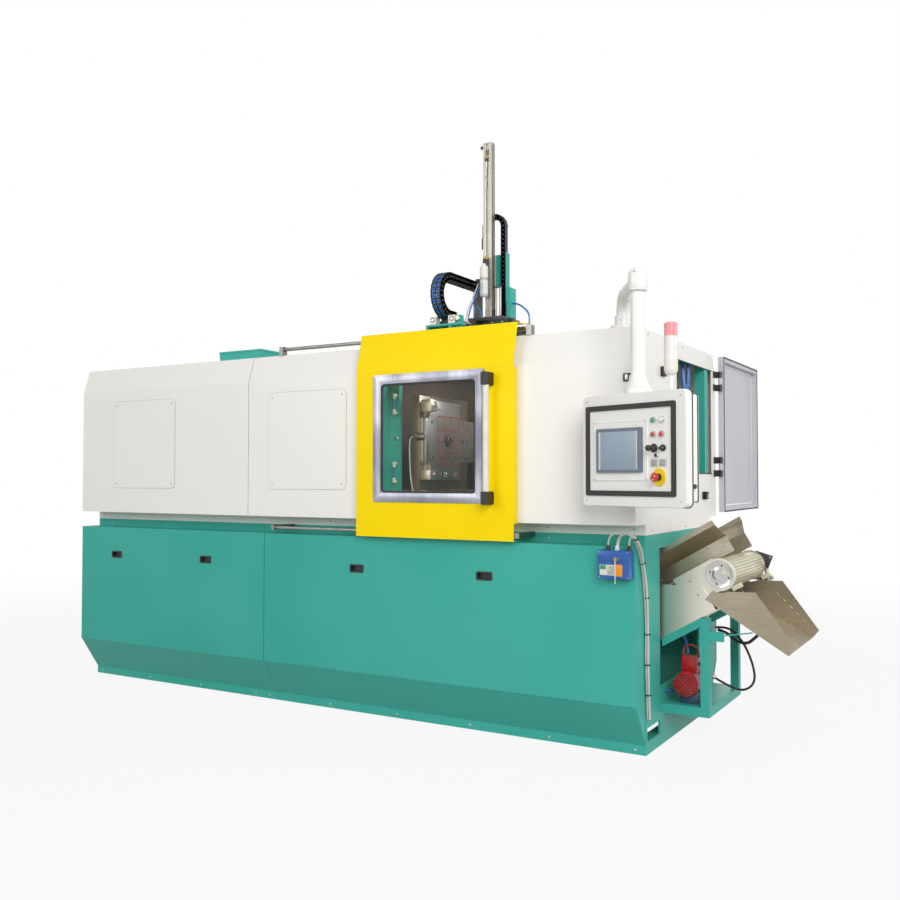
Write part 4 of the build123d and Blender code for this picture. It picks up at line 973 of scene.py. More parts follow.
@dataclass
class Cell:
    """What shows through the window: lining, platen, mould with its clamps, hoses and sensor."""

    face: float = 660.0
    back: float = 614.0
    mould_y: Span = (-465.0, 100.0)
    mould_z: Span = (1362.0, 1826.0)
    arm_y: Span = (-422.0, -75.0)
    arm_z: Span = (1466.0, 1722.0)
    bush: Pair = (-226.0, 1596.0)
    foot_top: float = 1302.0

    def build(self) -> None:
        """Dresses the cell and builds the pieces inside it."""
        # The lining's colour carries a painted reflection of the dark cell.
        dress(LINING_STEEL_PAINTED_REFLECTION, "lining")
        dress(TEAL_ENAMEL, "fitting_bar")
        self.cast_platen()
        self.cut_mould()
        self.add_hoses()
        self.add_sensor()

    def cast_platen(self) -> None:
        """Makes the ground steel platen, its foot and the two ribs behind it, with their screws."""
        low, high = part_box("platen")
        x, y, (foot, top) = ((start / MM, end / MM) for start, end in zip(low, high))
        platen = Maker("press_platen", slot="stainless")
        # The platen takes the lining's finish, with the same painted reflection of the dark cell.
        platen.block(LINING_STEEL_PAINTED_REFLECTION, x, y, (foot, self.foot_top), edge=3)
        platen.block(LINING_STEEL_PAINTED_REFLECTION, (self.back - 60, self.back), y, (self.foot_top, top), edge=3)
        for side in (y[0] + 60, y[1] - 100):
            outline = ((x[0] + 20, self.foot_top), (self.back - 60, self.foot_top), (self.back - 60, top - 60))
            platen.slab(LINING_STEEL_PAINTED_REFLECTION, outline, (side, side + 40), edge=2)
        spots = product(x[1:], grown(y, -40), (foot + 60, self.foot_top - 40))
        platen.screws(spots, RIGHT, radius=9, height=6)
        platen.done("platen")

    def cut_mould(self) -> None:
        """Makes the milled mould plate with its notches, clamp blocks, bush, holes and parting lines."""
        mould = Maker("mould_plate", slot="mould_alloy")
        (left, right), (low, high) = self.mould_y, self.mould_z
        (arm_left, arm_right), (arm_low, arm_high) = self.arm_y, self.arm_z
        bow = 22
        outline = [
            (left, arm_low), (arm_left - bow, arm_low), (arm_left - 6, arm_low - 6), (arm_left, arm_low - bow),
            (arm_left, low), (arm_right, low), (arm_right, arm_low), (right, arm_low),
            (right, arm_high), (arm_right, arm_high), (arm_right, high), (arm_left, high),
            (arm_left, arm_high + bow), (arm_left - 6, arm_high + 6), (arm_left - bow, arm_high), (left, arm_high),
        ]
        mould.slab(MILLED_ALLOY, outline, (self.back + 22, self.face), turn=ACROSS, edge=1.5)
        mould.slab(BRIGHT_ALLOY, outline, (self.back, self.back + 21), turn=ACROSS, edge=1.5)
        mould.block(BRIGHT_ALLOY, (634, 703), (-482, -410), (1757, 1826), edge=2.5)
        mould.block(BRIGHT_ALLOY, (634, 703), (-490, -424), (1362, 1418), edge=2.5)
        mould.screws(((703, -446, z) for z in (1791, 1390)), RIGHT, radius=11, height=6)
        self.mark_face(mould)
        y, z = self.bush
        profile = [(11, 0), (34, 0), (34, 5), (26, 7), (26, 18), (23, 21), (11, 21)]
        mould.turned(BLACK_OXIDE, profile, (self.face, y, z), RIGHT)
        mould.ring(GROUND_STEEL, (self.face + 19, y, z), RIGHT, 21, 11, 3)
        # The bush's bore is a dark disc of painted shade.
        mould.rod(RECESS_SHADE, (self.face - 1, y, z), (self.face + 4, y, z), 12)
        mould.done("mould")

    def mark_face(self, mould: Maker) -> None:
        """Adds parting lines, guide holes, lifting eyes and small pins to the mould's face.

        Args:
            mould: The mould being made.
        """
        x = (self.face, self.face + 0.6)
        half = 3.6
        upright = (
            (-335, 1455, 1736), (-97, 1455, 1736), (-259, 1655, 1736), (-181, 1655, 1736), (-259, 1586, 1655),
            (-181, 1530, 1600), (-259, 1455, 1530), (-181, 1455, 1530),
        )
        level = (
            (1736, -335, -97), (1655, -335, -97), (1530, -335, -97), (1455, -335, -97), (1586, -335, -259),
            (1600, -181, -97),
        )
        for y, low, high in upright:
            mould.block(LINE_RED, x, about(y, half), grown((low, high), half))
        for z, low, high in level:
            mould.block(LINE_RED, x, grown((low, high), half), about(z, half))
        holes = (
            (-105, 1804, 8), (-316, 1776, 5), (-405, 1700, 7), (-29, 1704, 9), (-400, 1491, 7), (-13, 1494, 9),
            (-114, 1416, 7), (-318, 1390, 7), (-380, 1785, 6), (-60, 1650, 5), (60, 1650, 7), (60, 1530, 7),
        )
        # Each hole is a ring with a dark disc of painted shade in it.
        for y, z, radius in holes:
            mould.ring(GROUND_STEEL, (self.face, y, z), RIGHT, radius + 2.5, radius, 1.2, steps=20)
            mould.rod(RECESS_SHADE, (self.face, y, z), (self.face + 0.6, y, z), radius)
        for y in (-277, -168):
            mould.turned(BLACK_OXIDE, [(7, 0), (15, 0), (15, 4), (7, 4)], (self.face, y, 1390), RIGHT)
            eye = [(10 + 4 * math.cos(turn), 4 * math.sin(turn)) for turn in around(8)]
            mould.turned(ZINC, eye, (self.face + 15, y, 1390), BACK, steps=20)
        # The pockets are dark blocks of painted shade.
        for y in (-44, 8):
            mould.block(RECESS_SHADE, x, about(y, 12), (1584, 1606))
            mould.block(MILLED_ALLOY, (x[0], x[1] + 0.4), about(y, 7), (1590, 1600))
        # Small dark discs of painted shade for the small holes.
        for y, z in product((-297, -220, -139), (1697, 1493)):
            mould.rod(RECESS_SHADE, (x[0], y, z), (x[1] + 1, y, z), 4, sides=12)

    def add_hoses(self) -> None:
        """Adds the white elbows and blue tubes on the fitting bar, and its plain boss."""
        hoses = Maker("cell_hoses", slot="white_plastic")
        x, front = 474.0, -495.0
        reach = front - 27
        for low, high in ((1351, 1457), (1752, 1857)):
            for z, way in ((low, 1), (high, -1)):
                hoses.rod(BRASS, (x, front, z), (x, front - 7, z), 11, sides=6, edge=0.8)
                hoses.rod(WHITE_NYLON, (x, front - 7, z), (x, reach + 2, z), 9)
                hoses.ball(WHITE_NYLON, (x, reach, z), 10.5)
                hoses.rod(WHITE_NYLON, (x, reach, z), (x, reach, z + way * 22), 9, edge=1)
                hoses.ring(BLUE_TUBE, (x, reach, z + way * 22), (0, 0, way), 8, 4, 3, steps=20)
            bow = (x - 1, reach - 2, (low + high) / 2)
            hoses.tube(BLUE_TUBE, [(x, reach, low + 12), bow, (x, reach, high - 12)], 4.5)
        hoses.turned(ZINC, [(0, 0), (12, 0), (12, 5), (9, 7), (0, 7)], (x, front, 1604), FRONT)
        hoses.screws(((place, front, z) for z, place in product((1130, 1920), (432, 474))), FRONT)
        hoses.done()

    def add_sensor(self) -> None:
        """Adds the proximity sensor beside the mould and its hanging lead."""
        sensor = Maker("mould_sensor", slot="machined_steel")
        y, z = -500, 1612
        sensor.block(BLACK_OXIDE, (604, 644), (-489, -466), about(z, 22), edge=2)
        sensor.rod(ZINC, (592, y, z), (668, y, z), 9, sides=20, edge=1)
        for x in (612, 634):
            sensor.rod(BRASS, (x, y, z), (x + 6, y, z), 13, sides=6, edge=1)
        lead = [(592, y, z), (572, y, 1610), (566, y, 1560), (568, -498, 1450), (574, -498, 1360)]
        sensor.tube(GREY_SHEATH, [*lead, (590, -498, 1300), (592, -496, 1262)], 4)
        sensor.done()


@dataclass
class Chain:
    """A cable chain of moulded links round a half turn, with hoses inside.

    Attributes:
        radius: The radius of the chain's middle line.
        height: The links' height, out from that middle.
        width: The links' width, across the plane.
        first: The length of the run before the turn.
        second: The length of the run after it.
        pitch: The length of a link.
        wall: The thickness of its side walls.
        bar: The thickness of its cross bars.
        strip: Half the width kept free for the divider down its middle.
        hose: The largest radius that a hose in it has.
    """

    radius: float
    height: float
    width: float
    first: float
    second: float
    pitch: float
    wall: float = 5.0
    bar: float = 2.5
    strip: float = 3.0
    hose: float = 5.7

    def link_frames(self, turn: Matrix) -> list[Matrix]:
        """Finds where each link sits.

        Args:
            turn: Puts the chain's plane, run along x and out along z, into the machine.

        Returns:
            One frame for each link, with x along the chain and z outwards.
        """
        bend = math.pi * self.radius
        total = self.first + bend + self.second
        count = round(total / self.pitch)
        frames = []
        for step in range(count):
            along = (step + 0.5) * total / count
            if along < self.first:
                place, lean = Vector((self.first - along, 0, -self.radius)), math.pi
            elif along > self.first + bend:
                place, lean = Vector((along - self.first - bend, 0, self.radius)), 0.0
            else:
                swing = (along - self.first) / self.radius
                place = Vector((-self.radius * math.sin(swing), 0, -self.radius * math.cos(swing)))
                lean = math.pi + swing
            frames.append(turn @ Matrix.Translation(place) @ Matrix.Rotation(lean, 4, "Y"))
        return frames

    def build(self, name: str, turn: Matrix, replaced: str) -> bpy.types.Object:
        """Builds the chain, link by link.

        Args:
            name: The piece's name.
            turn: Puts the chain's plane into the machine.
            replaced: The solid that it stands for.

        Returns:
            The chain, attached to no body.
        """
        frames = self.link_frames(turn)
        half, tall, long = self.width / 2, self.height / 2, self.pitch
        free = half - self.wall - self.strip
        room = min(self.hose, free / 2)
        rise = tall - self.bar - 0.1 - room
        chain = Maker(name, body="", slot="chain_plastic")
        for place in frames:
            chain.place = place
            for side in (-1, 1):
                outer, inner = side * half, side * (half - self.wall)
                chain.block(BLACK_NYLON, about(0, long / 2), sorted((outer, inner)), about(0, tall - 2))
                chain.rod(BLACK_NYLON, (long / 2, outer, 0), (long / 2, inner, 0), tall - 1, sides=20)
                chain.rod(BLACK_NYLON, (long / 2, outer, 0), (long / 2, outer + side, 0), tall * 0.3, sides=12)
            for face in (-1, 1):
                bar = sorted((face * tall, face * (tall - self.bar)))
                chain.block(BLACK_NYLON, about(0, long * 0.17), about(0, half - 3), bar, edge=0.8)
            chain.block(BLACK_NYLON, about(0, long * 0.5), (-2, 2), about(0, tall - 3))
            for lane, side in product(range(int(free / (2 * room) + 0.01)), (-1, 1)):
                spot = side * (self.strip + room * (2 * lane + 1))
                chain.rod(BLUE_TUBE, (-long * 0.53, spot, rise), (long * 0.53, spot, rise), room, sides=14)
        return chain.done(replaced)


@dataclass
class Picker:
    """Picker on the roof: stand, rails, carriage, mast, cylinder, chains and hoses."""

    mast_x: float = 914.0
    mast_y: float = -167.0
    half_x: float = 28.5
    half_y: float = 21.5
    mast_z: Span = (2010.0, 3372.0)
    cylinder: Pair = (906.0, -216.5)
    rail_x: Pair = (735.0, 861.0)
    rail_z: float = 2276.0
    plate_top: float = 2310.0

    def build(self) -> None:
        """Dresses the picker's solids and builds its detailed pieces."""
        dress(TEAL_ENAMEL, "picker_stand", "mast_guide")
        dress(CHROME, "slide_rails")
        dress(WHITE_NYLON, "rail_blocks")
        dress(BLACK_OXIDE, "carriage")
        self.raise_mast()
        self.hang_cylinder()
        self.run_chains()
        self.fit_carriage()
        self.fit_stand()

    def raise_mast(self) -> None:
        """Makes the mast's slotted extrusion with end cap, knob, sensors, foot and chain bracket."""
        mast = Maker("mast_profile", "mast", slot="mast_alloy")
        a, b = self.half_x, self.half_y
        section = [
            (-a, -b), (-20, -b), (-20, -b + 2), (-17, -b + 2), (-17, -b), (-7, -b), (-7, -b + 8), (7, -b + 8), (7, -b),
            (17, -b), (17, -b + 2), (20, -b + 2), (20, -b), (a, -b), (a, -15), (a - 5, -15), (a - 5, -8), (a, -8),
            (a, 1), (a - 2, 1), (a - 2, 4), (a, 4), (a, 10), (a - 5, 10), (a - 5, 16), (a, 16), (a, b),
            (7, b), (7, b - 8), (-7, b - 8), (-7, b), (-a, b), (-a, 8), (-a + 7, 8), (-a + 7, -6), (-a, -6),
        ]
        placed = [(self.mast_x + x, self.mast_y + y) for x, y in section]
        mast.slab(MAST_ALLOY, placed, (self.mast_z[0], self.mast_z[1] - 7), turn=STILL)
        x, y, top = self.mast_x, self.mast_y, self.mast_z[1]
        mast.block(MAST_ALLOY, (x - a - 0.5, x + a), (y - b - 0.5, y + b), (top - 7, top), edge=1.5)
        mast.screws(((across, y, top - 2) for across in about(x, 14)), UP, radius=5, height=2)
        knob = [(x - a - out, y - 8, top - 23) for out in (0, 6, 20)]
        mast.rod(BLACK_NYLON, *knob[:2], 5)
        mast.rod(BLACK_NYLON, *knob[1:], 10, sides=16, edge=1.5)
        mast.block(BLACK_NYLON, (x - 12, x + 8), (y - b - 9, y - b + 1), (3258, 3280), edge=1.5)
        mast.block(SENSOR_YELLOW, (x - 11, x + 7), (y - b - 10, y - b), (3274, 3288), edge=1.5)
        for low in (x - 10, x + 5):
            mast.block(BLACK_OXIDE, (low, low + 5), (y - b - 1.5, y - b), (3292, 3330), edge=0.5)
        front = y - b - 3
        mast.tube(WHITE_NYLON, [(x - 2, front, 3262), (x - 4, front - 2, 3215), (x - 8, front, 3169)], 4)
        groove = y - b + 3.4
        lead = [(x - 8, front, 3172), (x - 6, front + 2, 3140), (x - 3, groove, 3110), (x + 3, groove, 3000)]
        lead += [(x - 3, groove, 2900), (x + 3, groove, 2800), (x, groove, 2690), (x - 3, groove, 2500)]
        mast.tube(GREY_SHEATH, lead, 2.6)
        mast.turned(GROUND_STEEL, [(0, 0), (43, 0), (45, 2), (45, 12), (43, 14), (0, 14)], (x, y, 1996), UP)
        mast.block(BLACK_OXIDE, (852, x), (y + b, y + b + 5.7), (2745, 2813), edge=1)
        mast.screws(((x - 20, y + b + 5.7, z) for z in (2762, 2796)), BACK, radius=4, height=1.5)
        mast.done("mast")

    def hang_cylinder(self) -> None:
        """Makes the clear-bowled cylinder beside the mast."""
        bowl = Maker("lift_bowl", "carriage", slot="white_plastic")
        x, y = self.cylinder
        body = [(0, 2436), (9, 2437), (17, 2441), (23, 2450), (25, 2462), (25, 2540), (0, 2540)]
        head = [(0, 2556), (25, 2556), (25, 2612), (23, 2622), (16, 2625), (12.5, 2626), (12.5, 2639)]
        bowl.stack(
            (x, y, 0), UP,
            (CHROME, [(0, 2310), (8, 2310), (8, 2441), (0, 2441)], 32),
            (CLEAR_TUBE, body, 32),
            (GREY_LABEL, [(0, 2540), (24, 2540), (24, 2556), (0, 2556)], 32),
            (WHITE_NYLON, [*head, (10, 2641), (0, 2641)], 32),
            (ZINC, [(0, 2310), (17, 2310), (17, 2322), (12, 2326), (0, 2326)], 6),
        )
        for z in (2478, 2500, 2522):
            bowl.ring(WHITE_NYLON, (x, y, z), UP, 25.8, 24, 3)
        bowl.block(BLACK_NYLON, (x - 4, x + 16), (y - 8, y + 24), (2638, 2668), edge=1.5)
        bowl.block(SENSOR_YELLOW, (x - 3, x + 15), (y - 7, y + 23), (2664, 2682), edge=1.5)
        bowl.rod(ZINC, (x + 12.5, y, 2640), (x + 12.5, y, 2646), 4, sides=12)
        bowl.done("lift_cylinder")

    def run_chains(self) -> None:
        """Makes both cable chains and bakes each one's placing into its mesh."""
        low = Chain(radius=110, height=50, width=62, first=60, second=408, pitch=27)
        turn = Matrix.Translation((798, -460, 2418)) @ Matrix.Rotation(math.pi / 2, 4, "Z")
        low_piece = low.build("low_cable_chain", turn, "low_chain")
        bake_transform(low_piece)
        high = Chain(radius=62, height=34, width=33, first=128, second=563, pitch=27)
        # The run after the turn hangs down on the right, from the carriage, and the short one on the left.
        turn = Matrix.Translation((931, -123, 2873)) @ Matrix.Rotation(math.pi / 2, 4, "Y")
        high_piece = high.build("high_cable_chain", turn, "high_chain")
        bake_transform(high_piece)

    def fit_carriage(self) -> None:
        """Adds hoses, guide collars, screws and the hose rest to the carriage."""
        fit = Maker("carriage_fittings", "carriage", slot="black_metal")
        top = self.plate_top
        corners = ((724, -264), (724, -70), (1042, -264), (1042, -200), (845, -264))
        fit.screws(((x, y, top) for x, y in corners), UP, radius=7, height=5, finish=BLACK_OXIDE)
        for x in (958.5, 988.5):
            fit.stack(
                (x, -164.5, top), UP,
                (DRAWN_ROD, [(0, 0), (7, 0), (7, 199), (0, 199)], 20),
                (BLACK_OXIDE, [(7, 0), (13, 0), (13, 16), (7, 16)], 20),
                (BLACK_OXIDE, [(0, 188), (9, 188), (9, 201), (0, 201)], 16),
            )
        fit.screws(((1040, -100, z) for z in (2335, 2480)), RIGHT, radius=5, height=2.5)
        clear = (
            (857, -190, 2539), (838, -196, 2490), (812, -200, 2430), (792, -204, 2385), (778, -206, 2330),
            (776, -206, 2306),
        )
        fit.tube(CLEAR_TUBE, clear, 4.5)
        fit.tube(BLUE_TUBE, [(x + 13, y + 4, z) for x, y, z in clear], 4.5)
        small = ((842, -228, 2308), (842, -228, 2372), (868, -228, 2392), (892, -224, 2352), (892, -222, 2318))
        fit.tube(BLUE_TUBE, small, 3.5)
        fit.block(BLACK_NYLON, (842, 872), (-206, -180), (2532, 2556), edge=2)
        loop = (
            (1036, -110, 2408), (1075, -120, 2404), (1128, -150, 2376), (1172, -160, 2334), (1180, -162, 2290),
            (1172, -162, 2246),
        )
        fit.tube(BLUE_TUBE, loop, 5.5)
        fit.block(BLACK_OXIDE, (1056, 1078), (-188, -136), (2212, 2309), edge=2)
        fit.block(BLACK_NYLON, (1060, 1196), (-194, -130), (2206, 2246), edge=4)
        for x in (1088, 1116, 1144):
            fit.block(BLACK_NYLON, (x, x + 12), (-196, -128), (2244, 2252), edge=2)
        fit.done()

    def fit_stand(self) -> None:
        """Adds rod end rings, screws, the chain's foot plates and the stop bolt to the stand."""
        fit = Maker("stand_fittings", slot="machined_steel")
        for x in self.rail_x:
            for y, way in ((-517, -1), (330, 1)):
                fit.ring(BLACK_OXIDE, (x, y, self.rail_z), (0, way, 0), 13, 7, 2)
                fit.turned(CHROME, [(0, 0), (8, 0), (7, 1.6), (0, 1.6)], (x, y, self.rail_z), (0, way, 0), steps=20)
            for y in (-506, -483, 296, 319):
                fit.screws(((across, y, self.rail_z + 20) for across in about(x, 14)), UP, radius=3.5, height=3)
        x, z = 910, 2272
        fit.rod(WHITE_NYLON, (x, -530, z), (x, -478, z), 8, edge=1)
        for low, high in ((-537, -530), (-486, -478)):
            fit.rod(ZINC, (x, low, z), (x, high, z), 13, sides=6, edge=1)
        fit.screws(((across, -430, 2284) for across in (774, 822)), UP, radius=4, height=2)
        fit.block(BLACK_NYLON, (765, 831), (-472, -404), (2250, 2286), edge=2)
        fit.screws(((across, y, 2250) for y, across in product((-490, -20, 300), (700, 832))), UP, height=4)
        fit.done()


@dataclass
class Pendant:
    """Operator's pendant: base, bent pipe, turning box with screen, controls and signal beacon."""

    axis: Point = (2110.0, -940.0, 1243.0)
    turn: float = -21.5
    front: float = -70.0
    roof_base: Pair = (1910.0, -595.0)
    # The middles of the controls on the box's front, as (x, z).
    key: Pair = (166, 230)
    stick: Pair = (150, 262)
    selector: Pair = (202, 262)
    stop: Pair = (179, 133)

    def __post_init__(self) -> None:
        """Works out the box's own frame from its axis and turn."""
        self.place = Matrix.Translation(self.axis) @ Matrix.Rotation(math.radians(self.turn), 4, "Z")

    def build(self) -> None:
        """Dresses the pendant's solids and builds its controls."""
        dress(PENDANT_COAT, "pendant_base", "pendant_pipe", "pendant_housing", "pendant_bezel")
        dress(BLACK_RUBBER, "pendant_trim")
        dress(SLATE_BEZEL, "pendant_screen")
        self.seal_box()
        self.fit_screen()
        self.fit_buttons()
        self.fit_stop()
        self.light_beacon()
        self.fit_base()

    def seal_box(self) -> None:
        """Adds the black seals, the plate at the neck, hinges and the cable gland."""
        seal = Maker("pendant_seals", "panel", "black_plastic", self.place)
        seal.plate(BLACK_RUBBER, (-286, 328), (-3, 518), (-27, -22), corner=28, rim=7, edge=1)
        seal.plate(BLACK_RUBBER, (-238.5, 279.5), (20.5, 501.5), (70, 76), corner=10, rim=6, edge=1)
        seal.plate(PENDANT_COAT, (-66, 52), (499, 519), (-66, -26), corner=4, edge=1.5)
        gland = [(0, 0), (15, 0), (15, 6), (11, 8), (11, 21), (8, 24), (0, 24)]
        seal.turned(BLACK_NYLON, gland, (277, 27.5, 92), RIGHT)
        seal.plate(WHITE_NYLON, (0, 26), (40, 470), (278, 280), corner=4, turn=ACROSS, edge=0.8)
        collar = [(30, 0), (62, 0), (62, 22), (59, 27), (51, 33), (45, 58), (41, 63), (30, 64)]
        seal.turned(PENDANT_COAT, collar, (0, 0, 519), UP, 48)
        seal.screws(product((-258, 300), (self.front,), (26, 489)), FRONT, radius=4.5, height=1.6)
        seal.done()

    def fit_screen(self) -> None:
        """Adds the display, its pale edges and the faint frame of the screen plate."""
        screen = Maker("pendant_display", "panel", "slate_panel", self.place)
        # The display's colour drift is painted glare, brighter towards one corner.
        screen.plate(DISPLAY_PAINTED_GLARE, (-173.5, 63.5), (166.5, 344.5), (-80.4, -79), edge=0.3)
        for x in ((-174, -164), (54, 64)):
            screen.plate(SCREEN_EDGE, x, (168, 343), (-81, -80.2), edge=0.2)
        screen.plate(PENDANT_COAT, (-212, 114), (117, 392), (-74, -72.8), corner=3, rim=8, edge=0.4)
        screen.screws(((x, -74, z) for z, x in product((126, 383), (-202, 104))), FRONT, radius=3, height=1)
        screen.done()

    def fit_buttons(self) -> None:
        """Makes push buttons, stick, selector, key switch and grey scale plates."""
        controls = Maker("pendant_controls", "panel", "control_plastic", self.place)
        front = self.front
        bezel = [(10.5, 0), (15, 0), (15, 4), (13.5, 8), (11.5, 9), (10.5, 8)]
        dome = [(0, 0), (10.5, 0), (10.5, 11), (8.5, 13.2), (4.5, 14.4), (0, 14.8)]
        for x, z, cap in ((149, 387, GREEN_CAP), (196, 387, WHITE_CAP), (149, 324, RED_CAP), (196, 324, RED_CAP)):
            controls.stack((x, front, z), FRONT, (CHROME, bezel, 32), (cap, dome, 32))
        x, z = self.key
        lock = [(0, 0), (12.5, 0), (12.5, 3), (11, 6), (7.5, 7), (0, 7)]
        controls.turned(CHROME, lock, (x, front, z), FRONT, steps=28)
        controls.plate(BLACK_NYLON, about(x, 1.4), about(z, 8), (front - 16, front - 6), edge=0.6)
        controls.turned(BLACK_NYLON, [(0, 0), (7, 0), (7, 3), (0, 3)], (x, front - 7, z), FRONT, steps=20)
        for x, z in ((152, 199), (200, 200)):
            controls.plate(GREY_LABEL, about(x, 20), (z - 20, z + 14), (front - 2.4, front), corner=3, edge=0.5)
            for low in (z - 12, z - 4, z + 4):
                controls.plate(BLACK_NYLON, about(x, 14), (low, low + 1.6), (front - 2.9, front - 2.3))
        controls.done("pendant_buttons")
        levers = Maker("pendant_stick", "panel", "black_plastic", self.place)
        x, z = self.stick
        boot = [(0, 0), (20, 0), (20, 3), (15, 5), (16, 9), (11, 12), (12, 15), (7, 19), (5.5, 39), (0, 39)]
        levers.turned(BLACK_NYLON, boot, (x, front, z), FRONT)
        levers.ball(BLACK_NYLON, (x, front - 39, z), 14)
        x, z = self.selector
        knob = [(0, 0), (15, 0), (15, 5), (12, 7), (12, 11), (0, 11)]
        levers.turned(BLACK_NYLON, knob, (x, front, z), FRONT)
        levers.block(BLACK_NYLON, about(x, 16), (front - 17, front - 7), about(z, 6), edge=3)
        levers.plate(WHITE_CAP, (x + 8, x + 14), about(z, 1), (front - 17.6, front - 16.8))
        levers.done("pendant_levers")

    def fit_stop(self) -> None:
        """Makes the emergency stop: yellow disc, collar and red mushroom head."""
        stop = Maker("pendant_stop", "panel", "stop_red", self.place)
        x, z = self.stop
        head = [(0, 25), (14, 25), (18, 27), (20, 31), (20, 36), (18, 40), (13, 43), (6, 44.3), (0, 44.5)]
        stop.stack(
            (x, self.front, z), FRONT,
            (STOP_YELLOW, [(0, 0), (40, 0), (40, 4), (38, 6), (0, 6)], 48),
            (BLACK_NYLON, [(0, 6), (17, 6), (17, 11), (13, 13), (0, 13)], 32),
            (ZINC, [(0, 12), (10, 12), (10, 27), (0, 27)], 32),
            (STOP_RED, head, 32),
        )
        for angle in around(3, math.radians(30)):
            spot = (x + 11 * math.cos(angle), self.front - 43.4, z + 11 * math.sin(angle))
            stop.ball(WHITE_CAP, spot, 2.2, (1.6, 0.5, 1))
        stop.done("stop_button")

    def light_beacon(self) -> None:
        """Makes the signal beacon: rose lens on pale segments, cap and foot."""
        beacon = Maker("signal_beacon", "panel", "beacon_lens", self.place)
        foot = (158, 40, 0)
        beacon.turned(ROSE_LENS, [(0, 770), (29.5, 770), (30, 772), (30, 826), (26, 831), (0, 832)], foot, UP, 40)
        for low in (716, 662):
            ribs = [(0, low), (29.5, low)]
            for rise in range(low + 5, low + 50, 10):
                ribs += [(30.4, rise - 3), (29.4, rise + 3)]
            ribs += [(29.5, low + 50), (0, low + 50)]
            beacon.turned(CLEAR_LENS, ribs, foot, UP, 40)
        for low in (766, 712, 658):
            beacon.turned(WHITE_NYLON, [(0, low), (31, low), (31, low + 4), (0, low + 4)], foot, UP, 40)
        beacon.stack(
            foot, UP,
            (WHITE_NYLON, [(0, 595), (20, 595), (24, 600), (30, 612), (31, 620), (31, 658), (0, 658)], 40),
            (WHITE_NYLON, [(11, 499), (22, 499), (22, 504), (14, 508), (11, 508)], 32),
        )
        beacon.done("beacon")

    def fit_base(self) -> None:
        """Adds the casing over the pipe's bend, the base's bolts and the collars' clamp screws."""
        elbow = Maker("pendant_elbow", "arm", slot="white_paint")
        x, y, _ = self.axis
        dome = [(0, 0), (44, 0), (45, 2), (45, 70), (43, 84), (37, 97), (27, 107), (14, 112.5), (0, 114)]
        elbow.turned(PENDANT_COAT, dome, (x, y, 2236), UP, 48)
        elbow.screw((x, y - 45, 2322), FRONT, radius=5, height=2)
        elbow.done()
        base = Maker("pendant_base_bolts", slot="machined_steel")
        x, y = self.roof_base
        bolts = ((x + 52 * math.cos(angle), y + 52 * math.sin(angle), 2136) for angle in around(6, 0.3))
        base.screws(bolts, UP, radius=5, height=4)
        base.screw((x, y - 42, 2162), FRONT, radius=4, height=2)
        base.done()


